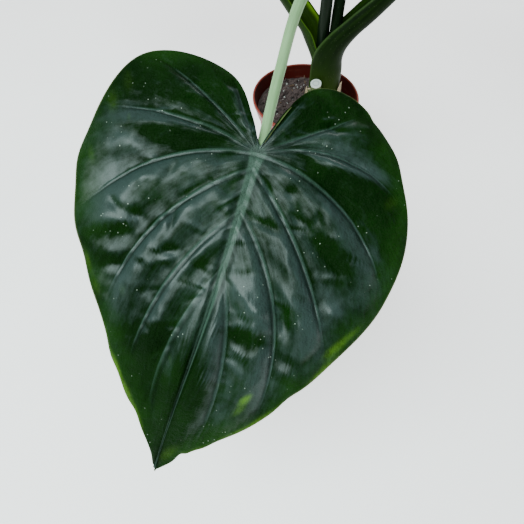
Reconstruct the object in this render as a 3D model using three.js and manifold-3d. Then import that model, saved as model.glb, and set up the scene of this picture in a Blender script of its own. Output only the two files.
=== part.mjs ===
// A young Chinese taro, an aroid with heart-shaped leaves, standing in a plastic nursery pot.
// Millimetres, +Z up. The origin is the centre of the pot's base, and -Y is the front, where the
// largest leaf hangs down over the pot's edge. Every leaf is a stalk with a clasping sheath at its
// foot, and a blade that hangs from the stalk's end.

import * as THREE from 'three';
import { mergeVertices } from 'three/addons/utils/BufferGeometryUtils.js';
import Module from 'manifold-3d';

const wasm = await Module();
wasm.setup();

// Driving sizes of the pot and what it holds.
const RIM_RADIUS = 60;
const POT_HEIGHT = 105;
const BASE_RADIUS = 42;
const WALL = 1.5;
const FLOOR = 2;
const COLLAR_HEIGHT = 18;
const COLLAR_STEP = 2.4;
const TAPER = (RIM_RADIUS - COLLAR_STEP - 2 - BASE_RADIUS) / POT_HEIGHT;
const DRAIN_HOLES = 6;
const DRAIN_RADIUS = 4.5;
const DRAIN_CIRCLE = 27;
const ROUND_SIDES = 40;
const SOIL_LEVEL = 91;
const EDGE_DIP = 1;
const GAP = 0.3;

// The stalks rise side by side from one foot, right of the pot's centre.
const FOOT = [18, 0];
const FOOT_LEVEL = 62;
const FOOT_HOLE = 20.3;
const CORM_DEPTH = 20;

// The blades.
const BLADE_LENGTH = 223;
const BLADE_THICKNESS = 0.9;
const MIDRIB_BEND = 4;
const MIDRIB_DEPTH = 3.4;
const STALK_ROOM = 6;
const VEIN_DEPTH = 1.3;
const GROOVE = 1.1;
const QUILT = 0.085;
const SAG = 14 / (110 * 110);

// One half of a blade is a fan of rails, from the notch behind the stalk round to the tip. A rail
// starts on the midrib and ends on the margin at [along, across] from the stalk. Its bow is the
// height of its arc as a share of its length, and its vein is how strongly the vein on it shows.
const STARTS = [0, 0, 0, 0, 0, 9, 35, 70, BLADE_LENGTH];
const BROAD_HALF = [
  { end: [-4, 0], bow: 0, vein: 0 },
  { end: [-40, 32], bow: 0, vein: 0.4 },
  { end: [-38, 87], bow: 0.04, vein: 0.8 },
  { end: [4, 107], bow: 0.065, vein: 0.8 },
  { end: [72, 97], bow: 0.12, vein: 1 },
  { end: [125, 62], bow: 0.115, vein: 1 },
  { end: [168, 36], bow: 0.09, vein: 0.9 },
  { end: [197, 14], bow: 0.08, vein: 0.7 },
];
const SLIM_HALF = [
  { end: [-4, 0], bow: 0, vein: 0 },
  { end: [-49, 17], bow: 0, vein: 0.4 },
  { end: [-50, 54], bow: -0.02, vein: 0.8 },
  { end: [0, 98], bow: 0.155, vein: 0.8 },
  { end: [62, 105], bow: 0.15, vein: 1 },
  { end: [114, 84], bow: 0.072, vein: 1 },
  { end: [168, 51], bow: 0.135, vein: 0.9 },
  { end: [200, 18], bow: 0.09, vein: 0.7 },
];

// The stalk sections. R is the radius of the trough that the sheath forms, wrap is how far its two
// wings reach round, in degrees, keel and wing are half the thickness at its back and at its edges,
// and level is how far the section stays level instead of square to the stalk.
const section = (at, R, wrap, keel, wing, level) => ({ at, R, wrap, keel, wing, level });
const rod = (at, radius, level = 0) => section(at, 0, [90, 90], radius, radius, level);

// Lean is the compass direction that a leaf's stalk bends in, and nest counts its sheath's place
// among the others, from the outermost.
const LEAVES = [
  {
    name: 'leaf_1',
    nest: 4,
    lean: 270,
    stalk: [
      rod([12, 0, FOOT_LEVEL], 5.8, 1),
      rod([12, 0.5, 130], 5.8, 1),
      rod([11.4, 3, 182], 5.9, 0.7),
      rod([9, -10, 224], 5.4),
      rod([3, -35, 254], 4.9),
      rod([-8, -72, 267], 4.5),
      rod([-25, -110, 257.5], 4.1),
      rod([-38, -165, 247], 3.6),
      rod([-51, -224, 231], 3.1),
    ],
    blade: {
      at: [-51.8, -225.4, 235.2], heading: 23.5, slope: [27, 52], roll: 11, size: 1,
      left: BROAD_HALF, right: SLIM_HALF, wave: 1.5, phase: 0.4, fine: true,
    },
  },
  {
    name: 'leaf_2',
    nest: 1,
    lean: 0,
    stalk: [
      section([34.2, 0, FOOT_LEVEL], 16.2, [165, 165], 1.35, 0.5, 1),
      section([34, 0, 132], 16.2, [165, 155], 1.35, 0.5, 1),
      section([32.4, -0.5, 152], 15.6, [160, 115], 1.4, 0.5, 1),
      section([35.2, -1, 166], 15.8, [150, 100], 1.5, 0.5, 1),
      section([44.6, -1, 181], 15.5, [146, 98], 1.8, 0.55, 1),
      section([60, 0, 197], 14.5, [134, 98], 2.3, 0.6, 0.8),
      section([90, 3, 231], 10, [105, 95], 3.4, 0.8, 0.3),
      section([122, 7, 265], 5, [90, 90], 4.4, 1.8, 0),
      rod([155, 12, 294], 4.4),
      rod([188, 17, 316], 3.8),
      rod([226, 22.8, 335.7], 3.2),
    ],
    blade: {
      at: [221, 22, 333.5], heading: -78, slope: [28, 62], roll: -4, size: 0.9,
      left: SLIM_HALF, right: BROAD_HALF, wave: 2.4, phase: 1.7, fine: false,
    },
  },
  {
    name: 'leaf_3',
    nest: 2,
    lean: 146,
    stalk: [
      section([7, 7.4, FOOT_LEVEL], 13.3, [150, 150], 1.2, 0.5, 1),
      section([7, 7.4, 136], 13.3, [150, 150], 1.2, 0.5, 1),
      section([5.2, 8.4, 150], 13.3, [112, 112], 1.3, 0.5, 1),
      section([-2.7, 13.9, 166], 13.2, [108, 108], 1.4, 0.5, 1),
      section([-9, 18.2, 177], 13, [115, 112], 1.6, 0.55, 1),
      section([-20, 23, 188], 12.5, [112, 108], 2, 0.6, 0.8),
      section([-52, 42, 223], 9, [100, 100], 3.2, 0.8, 0.3),
      section([-88, 64, 261], 4.6, [90, 90], 4.3, 1.8, 0),
      rod([-122, 87, 292], 4.4),
      rod([-153, 107, 315], 3.8),
      rod([-190.5, 132, 335.5], 3.2),
    ],
    blade: {
      at: [-186, 129, 333.5], heading: 124, slope: [26, 58], roll: 5, size: 0.95,
      left: SLIM_HALF, right: BROAD_HALF, wave: 2.2, phase: 3.1, fine: false,
    },
  },
  {
    name: 'leaf_4',
    nest: 3,
    lean: 70,
    stalk: [
      rod([24, 0, FOOT_LEVEL], 5.7, 1),
      rod([24, 0.5, 130], 5.7, 1),
      rod([23.5, 5, 190], 5.6, 0.7),
      rod([27, 15, 240], 5.1),
      rod([36, 38, 300], 4.5),
      rod([48, 72, 358], 3.9),
      rod([64.8, 120, 413.5], 3.2),
    ],
    blade: {
      at: [63.5, 116, 409], heading: 200, slope: [34, 68], roll: -3, size: 0.86,
      left: BROAD_HALF, right: SLIM_HALF, wave: 2.2, phase: 4.6, fine: false,
    },
  },
];

// The foot of an older leaf, cut off above the soil, which clasps the others at the front.
const OLD_FOOT = {
  lean: 243,
  stalk: [
    section([9.4, -16.9, FOOT_LEVEL], 18.9, [96, 96], 0.9, 0.45, 1),
    section([9.4, -16.9, 108], 18.9, [94, 92], 0.9, 0.45, 1),
    section([8.9, -17.9, 116], 15, [70, 70], 1.7, 0.6, 1),
    section([8, -20, 122], 6, [88, 88], 3.8, 2.4, 0.8),
    rod([7.4, -21.4, 129], 5.6, 0.4),
    rod([6.6, -22.8, 137], 5.6, 0),
  ],
};

const radians = THREE.MathUtils.degToRad;
const mix = THREE.MathUtils.lerp;

// A closed geometry with its shared corners merged becomes a solid that can be cut.
function toSolid(geometry) {
  geometry.deleteAttribute('normal');
  geometry.deleteAttribute('uv');
  const merged = mergeVertices(geometry, 1e-4);
  const corners = new Float32Array(merged.attributes.position.array);
  const faces = [];
  const index = merged.index.array;
  for (let i = 0; i < index.length; i += 3) {
    const [a, b, c] = [index[i], index[i + 1], index[i + 2]];
    if (a !== b && b !== c && c !== a) faces.push(a, b, c);
  }
  const mesh = new wasm.Mesh({ numProp: 3, vertProperties: corners, triVerts: new Uint32Array(faces) });
  return new wasm.Manifold(mesh);
}

function fromSolid(solid) {
  const mesh = solid.getMesh();
  const geometry = new THREE.BufferGeometry();
  geometry.setAttribute('position', new THREE.BufferAttribute(new Float32Array(mesh.vertProperties), 3));
  geometry.setIndex(new THREE.BufferAttribute(new Uint32Array(mesh.triVerts), 1));
  geometry.computeVertexNormals();
  return geometry;
}

function fromLists(points, faces) {
  const geometry = new THREE.BufferGeometry();
  const numbers = points.flatMap((p) => [p.x, p.y, p.z]);
  geometry.setAttribute('position', new THREE.Float32BufferAttribute(numbers, 3));
  geometry.setIndex(faces.flat());
  geometry.computeVertexNormals();
  return geometry;
}

// Smooth value between rail or station `i` and the next, through their neighbours.
function smooth(values, place) {
  const last = values.length - 1;
  const i = Math.min(Math.floor(place), last - 1);
  const t = place - i;
  const [p1, p2] = [values[i], values[i + 1]];
  const p0 = i > 0 ? values[i - 1] : 2 * p1 - p2;
  const p3 = i + 1 < last ? values[i + 2] : 2 * p2 - p1;
  const bend = t * (2 * p0 - 5 * p1 + 4 * p2 - p3 + t * (3 * (p1 - p2) + p3 - p0));
  return p1 + 0.5 * t * (p2 - p0 + bend);
}

function straight(values, place) {
  const i = Math.min(Math.floor(place), values.length - 2);
  return mix(values[i], values[i + 1], place - i);
}

// Where the margin stands out or is drawn in between its rails: [rail, width in rails, height].
const BROAD_MARGIN = [
  [1.9, 0.25, -0.9], [3.5, 0.2, 2.8], [4.4, 0.22, -2.6], [5.5, 0.2, 2.2], [6.5, 0.25, -2.7], [7.8, 0.15, 2],
];
const SLIM_MARGIN = [
  [0.8, 0.25, -1.2], [2.12, 0.08, -1], [2.5, 0.18, 2.3], [3.5, 0.35, 1.1], [5.5, 0.15, -1.9],
  [6.75, 0.15, 1.4], [7.25, 0.12, -3],
];
const MARGINS = new Map([[BROAD_HALF, BROAD_MARGIN], [SLIM_HALF, SLIM_MARGIN]]);

const midribAcross = (along) => MIDRIB_BEND * Math.sin((Math.PI * Math.max(along, 0)) / 175);

// Where the point at share v of rail w lies on the flattened blade, as [along, across].
function onBlade(half, side, w, v) {
  const rails = [...half, { end: [BLADE_LENGTH, side * midribAcross(BLADE_LENGTH)], bow: 0, vein: 0 }];
  const end = [0, 1].map((k) => smooth(rails.map((rail) => rail.end[k]), w));
  const start = straight(STARTS, w);
  const from = [start, side * midribAcross(start)];
  const bow = straight(rails.map((rail) => rail.bow), w);
  const middle = [(from[0] + end[0]) / 2 - 2 * bow * (end[1] - from[1]),
    (from[1] + end[1]) / 2 + 2 * bow * (end[0] - from[0])];
  const reach = Math.hypot(end[0] - from[0], end[1] - from[1]) + 1;
  const wave = MARGINS.get(half).reduce((sum, [at, width, height]) => (
    sum + height * Math.exp(-(((w - at) / width) ** 2))), 0);
  const tip = 1 + wave / reach;
  const point = [0, 1].map((k) => (1 - v) ** 2 * from[k] + 2 * v * (1 - v) * middle[k]
    + v * v * (from[k] + tip * (end[k] - from[k])));
  return [point[0], side * point[1]];
}

// How far apart two neighbouring rails lie at share v, square to the first of them.
function railSpacing(half, side, i, v) {
  const [here, next] = [onBlade(half, side, i, v), onBlade(half, side, i + 1, v)];
  const [behind, ahead] = [onBlade(half, side, i, Math.max(0, v - 0.02)), onBlade(half, side, i, v + 0.02)];
  const [run, rise] = [ahead[0] - behind[0], ahead[1] - behind[1]];
  return Math.abs((next[0] - here[0]) * rise - (next[1] - here[1]) * run) / Math.hypot(run, rise);
}

// How high the upper face stands, and how far the ribs stand out below it, at rail w and share v.
function relief(blade, half, side, w, v) {
  const nearest = Math.round(w);
  const off = Math.abs(w - nearest);
  const vein = nearest < half.length ? half[nearest].vein : 0;
  const i = Math.min(Math.floor(w), STARTS.length - 2);
  const arch = Math.sin(Math.PI * (w - i)) * Math.sin(Math.PI * v) ** 0.6;
  const bulge = QUILT * railSpacing(half, side, i, v) * arch;
  const groove = GROOVE * vein * Math.max(0, 1 - off / 0.14) * Math.sin(Math.PI * (0.12 + 0.8 * v));
  const wave = blade.wave * v ** 4 * Math.sin(2.6 * w * side + blade.phase);
  const along = straight(STARTS, w);
  const grown = Math.min(1, Math.max(0, along - STALK_ROOM) / (2 * STALK_ROOM));
  const midrib = v === 0 ? MIDRIB_DEPTH * grown * (1 - along / (1.1 * BLADE_LENGTH)) : 0;
  const rib = off < 0.01 && v > 0.1 ? VEIN_DEPTH * vein * (1 - 0.9 * v) : 0;
  const fold = -1.2 * Math.exp(-((v / 0.05) ** 2)) * Math.min(1, along / 12);
  return { lift: bulge - groove + wave + fold, depth: midrib + rib };
}

// The blade hangs along an arc that gets steeper towards the tip, and sags on both sides.
function bladePlace(blade) {
  const heading = radians(blade.heading);
  const [steep0, steep1] = blade.slope.map(radians);
  const roll = radians(blade.roll);
  const curl = (steep1 - steep0) / (BLADE_LENGTH * blade.size);
  const forward = new THREE.Vector3(-Math.sin(heading), -Math.cos(heading), 0);
  const level = new THREE.Vector3(Math.cos(heading), -Math.sin(heading), 0);
  const up = new THREE.Vector3(0, 0, 1);
  return (along, across, lift) => {
    const steep = steep0 + curl * along;
    const square = forward.clone().multiplyScalar(Math.sin(steep)).addScaledVector(up, Math.cos(steep));
    const sideways = level.clone().multiplyScalar(Math.cos(roll)).addScaledVector(square, -Math.sin(roll));
    const normal = square.multiplyScalar(Math.cos(roll)).addScaledVector(level, Math.sin(roll));
    return new THREE.Vector3(...blade.at)
      .addScaledVector(forward, (Math.sin(steep) - Math.sin(steep0)) / curl)
      .addScaledVector(up, (Math.cos(steep) - Math.cos(steep0)) / curl)
      .addScaledVector(sideways, across)
      .addScaledVector(normal, lift - (SAG / blade.size) * across * across);
  };
}

// A blade is one closed sheet: the same triangles on both faces, and a strip round the margin.
function bladeGeometry(blade) {
  const place = bladePlace(blade);
  const shares = blade.fine ? [0, 0.08, 0.3, 0.5, 0.7, 0.92] : [0, 0.12, 0.5, 0.88];
  const rows = blade.fine ? [0, 0.07, 0.22, 0.4, 0.58, 0.76, 0.9, 1] : [0, 0.09, 0.3, 0.55, 0.8, 1];
  const columns = [];
  for (let i = 0; i < STARTS.length - 1; i += 1) shares.forEach((share) => columns.push(i + share));
  columns.push(STARTS.length - 1);
  const known = new Map();
  const upper = [];
  const lower = [];
  const faces = [];
  const corner = (half, side, w, v) => {
    const [along, across] = onBlade(half, side, w, v);
    const key = `${along.toFixed(3)} ${(across + 0).toFixed(3).replace('-0.000', '0.000')}`;
    if (!known.has(key)) {
      const { lift, depth } = relief(blade, half, side, w, v);
      const [a, b] = [along * blade.size, across * blade.size];
      known.set(key, upper.length);
      upper.push(place(a, b, lift * blade.size));
      lower.push(place(a, b, lift * blade.size - BLADE_THICKNESS - depth * blade.size));
    }
    return known.get(key);
  };
  const addFace = (side, a, b, c) => {
    if (a !== b && b !== c && c !== a) faces.push(side > 0 ? [a, b, c] : [a, c, b]);
  };
  for (const [half, side] of [[blade.right, 1], [blade.left, -1]]) {
    for (let j = 0; j + 1 < columns.length; j += 1) {
      for (let i = 0; i + 1 < rows.length; i += 1) {
        const [w0, w1, v0, v1] = [columns[j], columns[j + 1], rows[i], rows[i + 1]];
        const [p, q] = [corner(half, side, w0, v0), corner(half, side, w1, v0)];
        const [r, s] = [corner(half, side, w1, v1), corner(half, side, w0, v1)];
        addFace(side, p, q, r);
        addFace(side, p, r, s);
      }
    }
  }
  const count = upper.length;
  const all = [...faces, ...faces.map(([a, b, c]) => [a + count, c + count, b + count])];
  const edges = new Set(faces.flatMap(([a, b, c]) => [`${a} ${b}`, `${b} ${c}`, `${c} ${a}`]));
  for (const edge of edges) {
    const [a, b] = edge.split(' ').map(Number);
    if (!edges.has(`${b} ${a}`)) all.push([b, a, a + count], [b, a + count, b + count]);
  }
  return fromLists([...upper, ...lower], all);
}

// Two corners of an outline that would fall together are kept a hair apart.
function spread(fixed, moved) {
  return Math.hypot(fixed[0] - moved[0], fixed[1] - moved[1]) > 0.2 ? moved : [fixed[0] - 0.2, fixed[1]];
}

// The outline of a stalk's section, in millimetres outwards and sideways from its back. With a wide
// trough it is a crescent, and with none it is a circle.
function stalkOutline({ R, wrap, keel, wing }, steps, grow) {
  const turn = 1 - 2 * Math.min(1, R / (2 * keel));
  const outside = [];
  const inside = [];
  for (let i = 0; i <= steps; i += 1) {
    const angle = radians(mix(-wrap[0], wrap[1], i / steps));
    const reach = angle < 0 ? radians(wrap[0]) : radians(wrap[1]);
    const half = grow + mix(wing, keel, Math.cos((0.5 * Math.PI * angle) / reach) ** 2);
    const middle = [-R + R * Math.cos(angle), R * Math.sin(angle)];
    outside.push([middle[0] + half * Math.cos(angle), middle[1] + half * Math.sin(angle)]);
    inside.push([middle[0] - half * Math.cos(angle), middle[1] + turn * half * Math.sin(angle)]);
  }
  inside[0] = spread(outside[0], inside[0]);
  inside[steps] = spread(outside[steps], inside[steps]);
  return [...outside, ...inside.reverse()];
}

// A stalk runs through its stations in smooth arcs. `grow` thickens it, for cutting its neighbour.
function stalkGeometry({ stalk, lean }, grow = 0) {
  const outwards = new THREE.Vector3(Math.cos(radians(lean)), Math.sin(radians(lean)), 0);
  const up = new THREE.Vector3(0, 0, 1);
  const sheathed = stalk.some((station) => station.R > 0);
  const steps = sheathed ? 14 : 7;
  const between = sheathed ? 2 : 3;
  const pick = (place, read) => straight(stalk.map(read), place);
  const spot = (place) => new THREE.Vector3(...[0, 1, 2].map((k) => smooth(stalk.map((s) => s.at[k]), place)));
  const rings = [];
  const last = (stalk.length - 1) * between;
  for (let n = 0; n <= last; n += 1) {
    const place = n / between;
    const at = spot(place);
    const ahead = spot(Math.min(place + 0.05, stalk.length - 1)).sub(spot(Math.max(place - 0.05, 0))).normalize();
    const axis = ahead.lerp(up, pick(place, (s) => s.level)).normalize();
    const side = new THREE.Vector3().crossVectors(axis, outwards).normalize();
    const out = new THREE.Vector3().crossVectors(side, axis);
    const shape = {
      R: pick(place, (s) => s.R),
      wrap: [pick(place, (s) => s.wrap[0]), pick(place, (s) => s.wrap[1])],
      keel: pick(place, (s) => s.keel),
      wing: pick(place, (s) => s.wing),
    };
    const outline = stalkOutline(shape, steps, grow);
    rings.push(outline.map(([o, s]) => at.clone().addScaledVector(out, o).addScaledVector(side, s)));
  }
  return loft(rings);
}

// Rings of points, all alike in number, joined into one closed body with flat ends.
function loft(rings) {
  const size = rings[0].length;
  const faces = [];
  for (let n = 0; n + 1 < rings.length; n += 1) {
    for (let i = 0; i < size; i += 1) {
      const j = (i + 1) % size;
      const [a, b, c, d] = [n * size + i, n * size + j, (n + 1) * size + j, (n + 1) * size + i];
      faces.push([a, b, c], [a, c, d]);
    }
  }
  const top = (rings.length - 1) * size;
  const half = size / 2;
  for (let i = 0; i + 1 < half; i += 1) {
    const [a, b, c, d] = [i, i + 1, size - 2 - i, size - 1 - i];
    faces.push([a, d, c], [a, c, b], [top + a, top + b, top + c], [top + a, top + c, top + d]);
  }
  return fromLists(rings.flat(), faces);
}

// The stalk's end is trimmed level with the blade's underside, and then to the shape of its ribs.
function trimAtBlade(solid, blade) {
  const place = bladePlace(blade);
  const size = 30;
  const block = new THREE.BoxGeometry(size, size, size);
  const origin = place(0, 0, -BLADE_THICKNESS - GAP);
  const normal = place(0, 0, 1).sub(place(0, 0, 0)).normalize();
  block.applyQuaternion(new THREE.Quaternion().setFromUnitVectors(new THREE.Vector3(0, 0, 1), normal));
  block.translate(...origin.addScaledVector(normal, size / 2).toArray());
  const sheet = toSolid(bladeGeometry(blade));
  const sunk = sheet.translate(normal.multiplyScalar(-GAP - 0.1).toArray());
  return solid.subtract(toSolid(block)).subtract(sheet).subtract(sunk);
}

function biggest(solid) {
  const pieces = solid.decompose();
  return pieces.reduce((best, piece) => (piece.volume() > best.volume() ? piece : best));
}

function latheGeometry(profile, sides = ROUND_SIDES) {
  const points = profile.map(([radius, level]) => new THREE.Vector2(radius, level));
  return new THREE.LatheGeometry(points, sides).rotateX(Math.PI / 2);
}

function postGeometry(radius, low, high, x, y, sides) {
  const post = new THREE.CylinderGeometry(radius, radius, high - low, sides).rotateX(Math.PI / 2);
  return post.translate(x, y, (low + high) / 2);
}

const outerRadius = (level) => BASE_RADIUS + TAPER * level;

// The pot tapers to its base, steps out to a collar at the top and has drain holes round its floor.
function potSolid() {
  const step = POT_HEIGHT - COLLAR_HEIGHT;
  const collar = outerRadius(step) + COLLAR_STEP;
  const profile = [
    [0, 0], [BASE_RADIUS - 1.2, 0], [outerRadius(1), 1], [outerRadius(step - 1), step - 1],
    [collar - 0.3, step], [collar, step + 1], [RIM_RADIUS - 0.6, POT_HEIGHT - 4],
    [RIM_RADIUS, POT_HEIGHT - 3.4], [RIM_RADIUS, POT_HEIGHT - 0.8], [RIM_RADIUS - 0.8, POT_HEIGHT],
    [RIM_RADIUS - 2, POT_HEIGHT], [RIM_RADIUS - 2.4, POT_HEIGHT - 1], [collar - WALL, step + 2.2],
    [outerRadius(step) - WALL, step], [outerRadius(FLOOR + 1.5) - WALL, FLOOR + 1.5],
    [BASE_RADIUS - WALL - 1, FLOOR], [0, FLOOR],
  ];
  let pot = toSolid(latheGeometry(profile));
  for (let i = 0; i < DRAIN_HOLES; i += 1) {
    const turn = (2 * Math.PI * (i + 0.5)) / DRAIN_HOLES;
    const [x, y] = [DRAIN_CIRCLE * Math.cos(turn), DRAIN_CIRCLE * Math.sin(turn)];
    pot = pot.subtract(toSolid(postGeometry(DRAIN_RADIUS, -2, FLOOR + 2, x, y, 12)));
  }
  return pot;
}

// The soil fills the pot to below the collar. Its face is lumpy, and the stalks stand in a hole.
function soilSolid() {
  const rings = 7;
  const sides = 36;
  const clear = WALL + GAP + 0.25;
  const step = POT_HEIGHT - COLLAR_HEIGHT;
  const [waist, brim] = [outerRadius(step) - clear, outerRadius(step) + COLLAR_STEP - clear];
  const bottom = FLOOR + GAP;
  const points = [new THREE.Vector3(0, 0, SOIL_LEVEL)];
  const ringOf = (radius, level) => {
    for (let i = 0; i < sides; i += 1) {
      const turn = (2 * Math.PI * i) / sides;
      const [x, y] = [radius * Math.cos(turn), radius * Math.sin(turn)];
      points.push(new THREE.Vector3(x, y, level(x, y)));
    }
  };
  const lumps = (x, y) => 1.1 * Math.sin(0.41 * x + 1.3) * Math.cos(0.37 * y) + 0.9 * Math.sin(0.9 * x - 0.7 * y);
  for (let n = 1; n <= rings; n += 1) {
    const radius = (brim * n) / rings;
    const dip = n === rings ? EDGE_DIP : 0;
    ringOf(radius, (x, y) => SOIL_LEVEL - dip + (n === rings ? 0 : lumps(x, y)));
  }
  ringOf(brim, () => step + 2.2 + GAP);
  ringOf(waist, () => step);
  ringOf(outerRadius(FLOOR + 3) - clear, () => FLOOR + 3);
  ringOf(BASE_RADIUS - clear - 1, () => bottom);
  points.push(new THREE.Vector3(0, 0, bottom));
  const faces = [];
  const bands = rings + 4;
  for (let i = 0; i < sides; i += 1) {
    const j = (i + 1) % sides;
    faces.push([0, 1 + i, 1 + j]);
    for (let n = 0; n + 1 < bands; n += 1) {
      const [a, b] = [1 + n * sides + i, 1 + n * sides + j];
      faces.push([a, a + sides, b + sides], [a, b + sides, b]);
    }
    const foot = 1 + (bands - 1) * sides;
    faces.push([points.length - 1, foot + j, foot + i]);
  }
  const hole = postGeometry(FOOT_HOLE, FOOT_LEVEL - CORM_DEPTH - 2 * GAP, POT_HEIGHT, ...FOOT, 36);
  return toSolid(fromLists(points, faces)).subtract(toSolid(hole));
}

// The swollen foot of the stem, out of sight in the soil, which the leaves grow from.
function cormGeometry() {
  const [top, bottom, radius] = [FOOT_LEVEL - GAP, FOOT_LEVEL - CORM_DEPTH, FOOT_HOLE - GAP];
  const profile = [
    [0, bottom], [radius * 0.55, bottom + 1], [radius * 0.85, bottom + 5], [radius, bottom + 12],
    [radius - 1, top - 2], [radius - 3, top], [0, top],
  ];
  return latheGeometry(profile, 20).translate(...FOOT, 0);
}

const finish = (color, roughness) => new THREE.MeshStandardMaterial({ color, roughness, metalness: 0 });
const part = new THREE.Group();

function add(name, geometry, color, roughness) {
  const mesh = new THREE.Mesh(geometry, finish(color, roughness));
  mesh.name = name;
  part.add(mesh);
}

// Each sheath lies round those inside it, so it is cut clear of them.
const inward = [...LEAVES].sort((one, other) => other.nest - one.nest);
const stalks = new Map();
inward.forEach((leaf, i) => {
  const cut = inward.slice(0, i).reduce(
    (solid, inner) => solid.subtract(toSolid(stalkGeometry(inner, GAP))),
    toSolid(stalkGeometry(leaf)),
  );
  stalks.set(leaf, biggest(cut));
});
const oldFoot = inward.reduce(
  (solid, inner) => solid.subtract(toSolid(stalkGeometry(inner, GAP))),
  toSolid(stalkGeometry(OLD_FOOT)),
);

add('pot', fromSolid(potSolid()), 0x7d2c20, 0.5);
add('soil', fromSolid(soilSolid()), 0x443a36, 0.95);
add('corm', cormGeometry(), 0x6b4f36, 0.9);
add('old_leaf_foot', fromSolid(biggest(oldFoot)), 0x9a8466, 0.8);
for (const leaf of LEAVES) {
  const stalk = biggest(trimAtBlade(stalks.get(leaf), leaf.blade));
  add(`${leaf.name}_stalk`, fromSolid(stalk), 0x5c7a4a, 0.5);
  add(`${leaf.name}_blade`, bladeGeometry(leaf.blade), 0x203925, 0.35);
}

export default part;
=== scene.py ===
# %% [markdown]
# # A young Chinese taro in its nursery pot
#
# The plant is an aroid. Each leaf is a fleshy stalk, whose foot is a sheath that wraps the younger
# stalks, and a heart-shaped blade that hangs from the stalk's end like a flag from a pole. The
# blade is thick, dark and glossy, and its veins are sunk so deep that it looks quilted.
#
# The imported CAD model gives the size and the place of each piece. This script opens it, and then
# models finer pieces over it: blades with every crease, stalks with thin wings, a pot, and soil.

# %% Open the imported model
import math
import random
from contextlib import contextmanager

import bpy
import numpy as np
from mathutils import Euler, Matrix, Vector


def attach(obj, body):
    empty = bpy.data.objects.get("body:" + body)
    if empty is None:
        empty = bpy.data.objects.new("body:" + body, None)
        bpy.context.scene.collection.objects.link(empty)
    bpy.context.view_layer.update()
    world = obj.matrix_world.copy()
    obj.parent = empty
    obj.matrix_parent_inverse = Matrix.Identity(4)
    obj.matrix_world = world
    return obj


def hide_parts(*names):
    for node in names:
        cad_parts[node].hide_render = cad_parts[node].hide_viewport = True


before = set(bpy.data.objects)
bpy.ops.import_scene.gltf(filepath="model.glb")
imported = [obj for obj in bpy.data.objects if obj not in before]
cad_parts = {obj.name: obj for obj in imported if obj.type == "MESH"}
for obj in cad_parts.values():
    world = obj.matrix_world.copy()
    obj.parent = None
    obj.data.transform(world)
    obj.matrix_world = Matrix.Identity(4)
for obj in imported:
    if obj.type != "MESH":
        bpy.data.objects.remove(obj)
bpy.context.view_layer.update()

MM = 0.001
WELD_REACH = 0.02 * MM
MARK_WIDTH = 12 * MM
print("CAD nodes:", ", ".join(sorted(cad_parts)))

# %% [markdown]
# ## The camera
#
# The photograph looks down on the plant, so that the front leaf fills the frame and the pot shows
# behind it as an ellipse. That ellipse says how steeply the camera looks down, and the size of the
# pot then says how far away it stands. A lens length for a 36 mm sensor comes from the same sum.

# %% Camera
FRAME_PIXELS = 524
FOCAL_PIXELS = 430
SENSOR_WIDTH = 36
LOOK_DOWN = math.radians(58.1)
CAMERA_PLACE = (-0.0494, -0.4163, 0.4179)

camera_data = bpy.data.cameras.new("camera")
camera_data.sensor_width = SENSOR_WIDTH
camera_data.lens = SENSOR_WIDTH * FOCAL_PIXELS / FRAME_PIXELS
camera_data.clip_start = 0.01
camera = bpy.data.objects.new("camera", camera_data)
camera.location = CAMERA_PLACE
camera.rotation_euler = (math.pi / 2 - LOOK_DOWN, 0, 0)
bpy.context.scene.collection.objects.link(camera)
bpy.context.scene.camera = camera
print(f"camera lens {camera_data.lens:.2f} mm")

# %% [markdown]
# ## Small helpers
#
# Every piece below starts as one of Blender's own primitives, and is then shaped. Blender's
# operators act on whatever is selected, so each helper first deselects everything. A leaf or a
# stalk follows a formula, so it starts as a flat grid of which every point is moved at once.

# %% Helpers for meshes
def named(name):
    """Gives the piece that was just made its name."""
    piece = bpy.context.object
    piece.name = piece.data.name = name
    return piece


def alone(piece):
    """Selects one object, and nothing else."""
    bpy.ops.object.select_all(action="DESELECT")
    piece.select_set(True)
    bpy.context.view_layer.objects.active = piece


@contextmanager
def editing(piece):
    """Edit mode on one object, with all of it selected."""
    alone(piece)
    bpy.ops.object.mode_set(mode="EDIT")
    bpy.ops.mesh.select_all(action="SELECT")
    yield
    bpy.ops.object.mode_set(mode="OBJECT")


def points_of(piece):
    at = np.empty(len(piece.data.vertices) * 3)
    piece.data.vertices.foreach_get("co", at)
    return at.reshape(-1, 3)


def move_points(piece, at):
    piece.data.vertices.foreach_set("co", np.ascontiguousarray(at, dtype=np.float64).ravel())
    piece.data.update()


def note(piece, name, values):
    """Keeps a number, or three, for each point, which a material can read."""
    values = np.asarray(values, dtype=np.float32)
    kind, key = ("FLOAT", "value") if values.ndim == 1 else ("FLOAT_VECTOR", "vector")
    layer = piece.data.attributes.new(name, kind, "POINT")
    layer.data.foreach_set(key, values.ravel())


def triples(one, other, third):
    """Three numbers for each point, as one row of an array."""
    return np.stack(np.broadcast_arrays(one, other, third), 1)


def add_grid(name, columns, rows):
    """A flat grid, with each point's place in it from 0 to 1 in both directions."""
    bpy.ops.object.select_all(action="DESELECT")
    bpy.ops.mesh.primitive_grid_add(x_subdivisions=columns, y_subdivisions=rows, size=2)
    piece = named(name)
    at = points_of(piece)
    return piece, (at[:, 0] + 1) / 2, (at[:, 1] + 1) / 2


def weld(piece, sheet=False):
    """Joins the points that lie on each other, and turns the faces outwards."""
    with editing(piece):
        bpy.ops.mesh.remove_doubles(threshold=WELD_REACH)
        bpy.ops.mesh.dissolve_degenerate(threshold=WELD_REACH / 4)
        bpy.ops.mesh.select_all(action="SELECT")
        if sheet:
            bpy.ops.mesh.flip_normals()
        else:
            bpy.ops.mesh.normals_make_consistent(inside=False)


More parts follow.
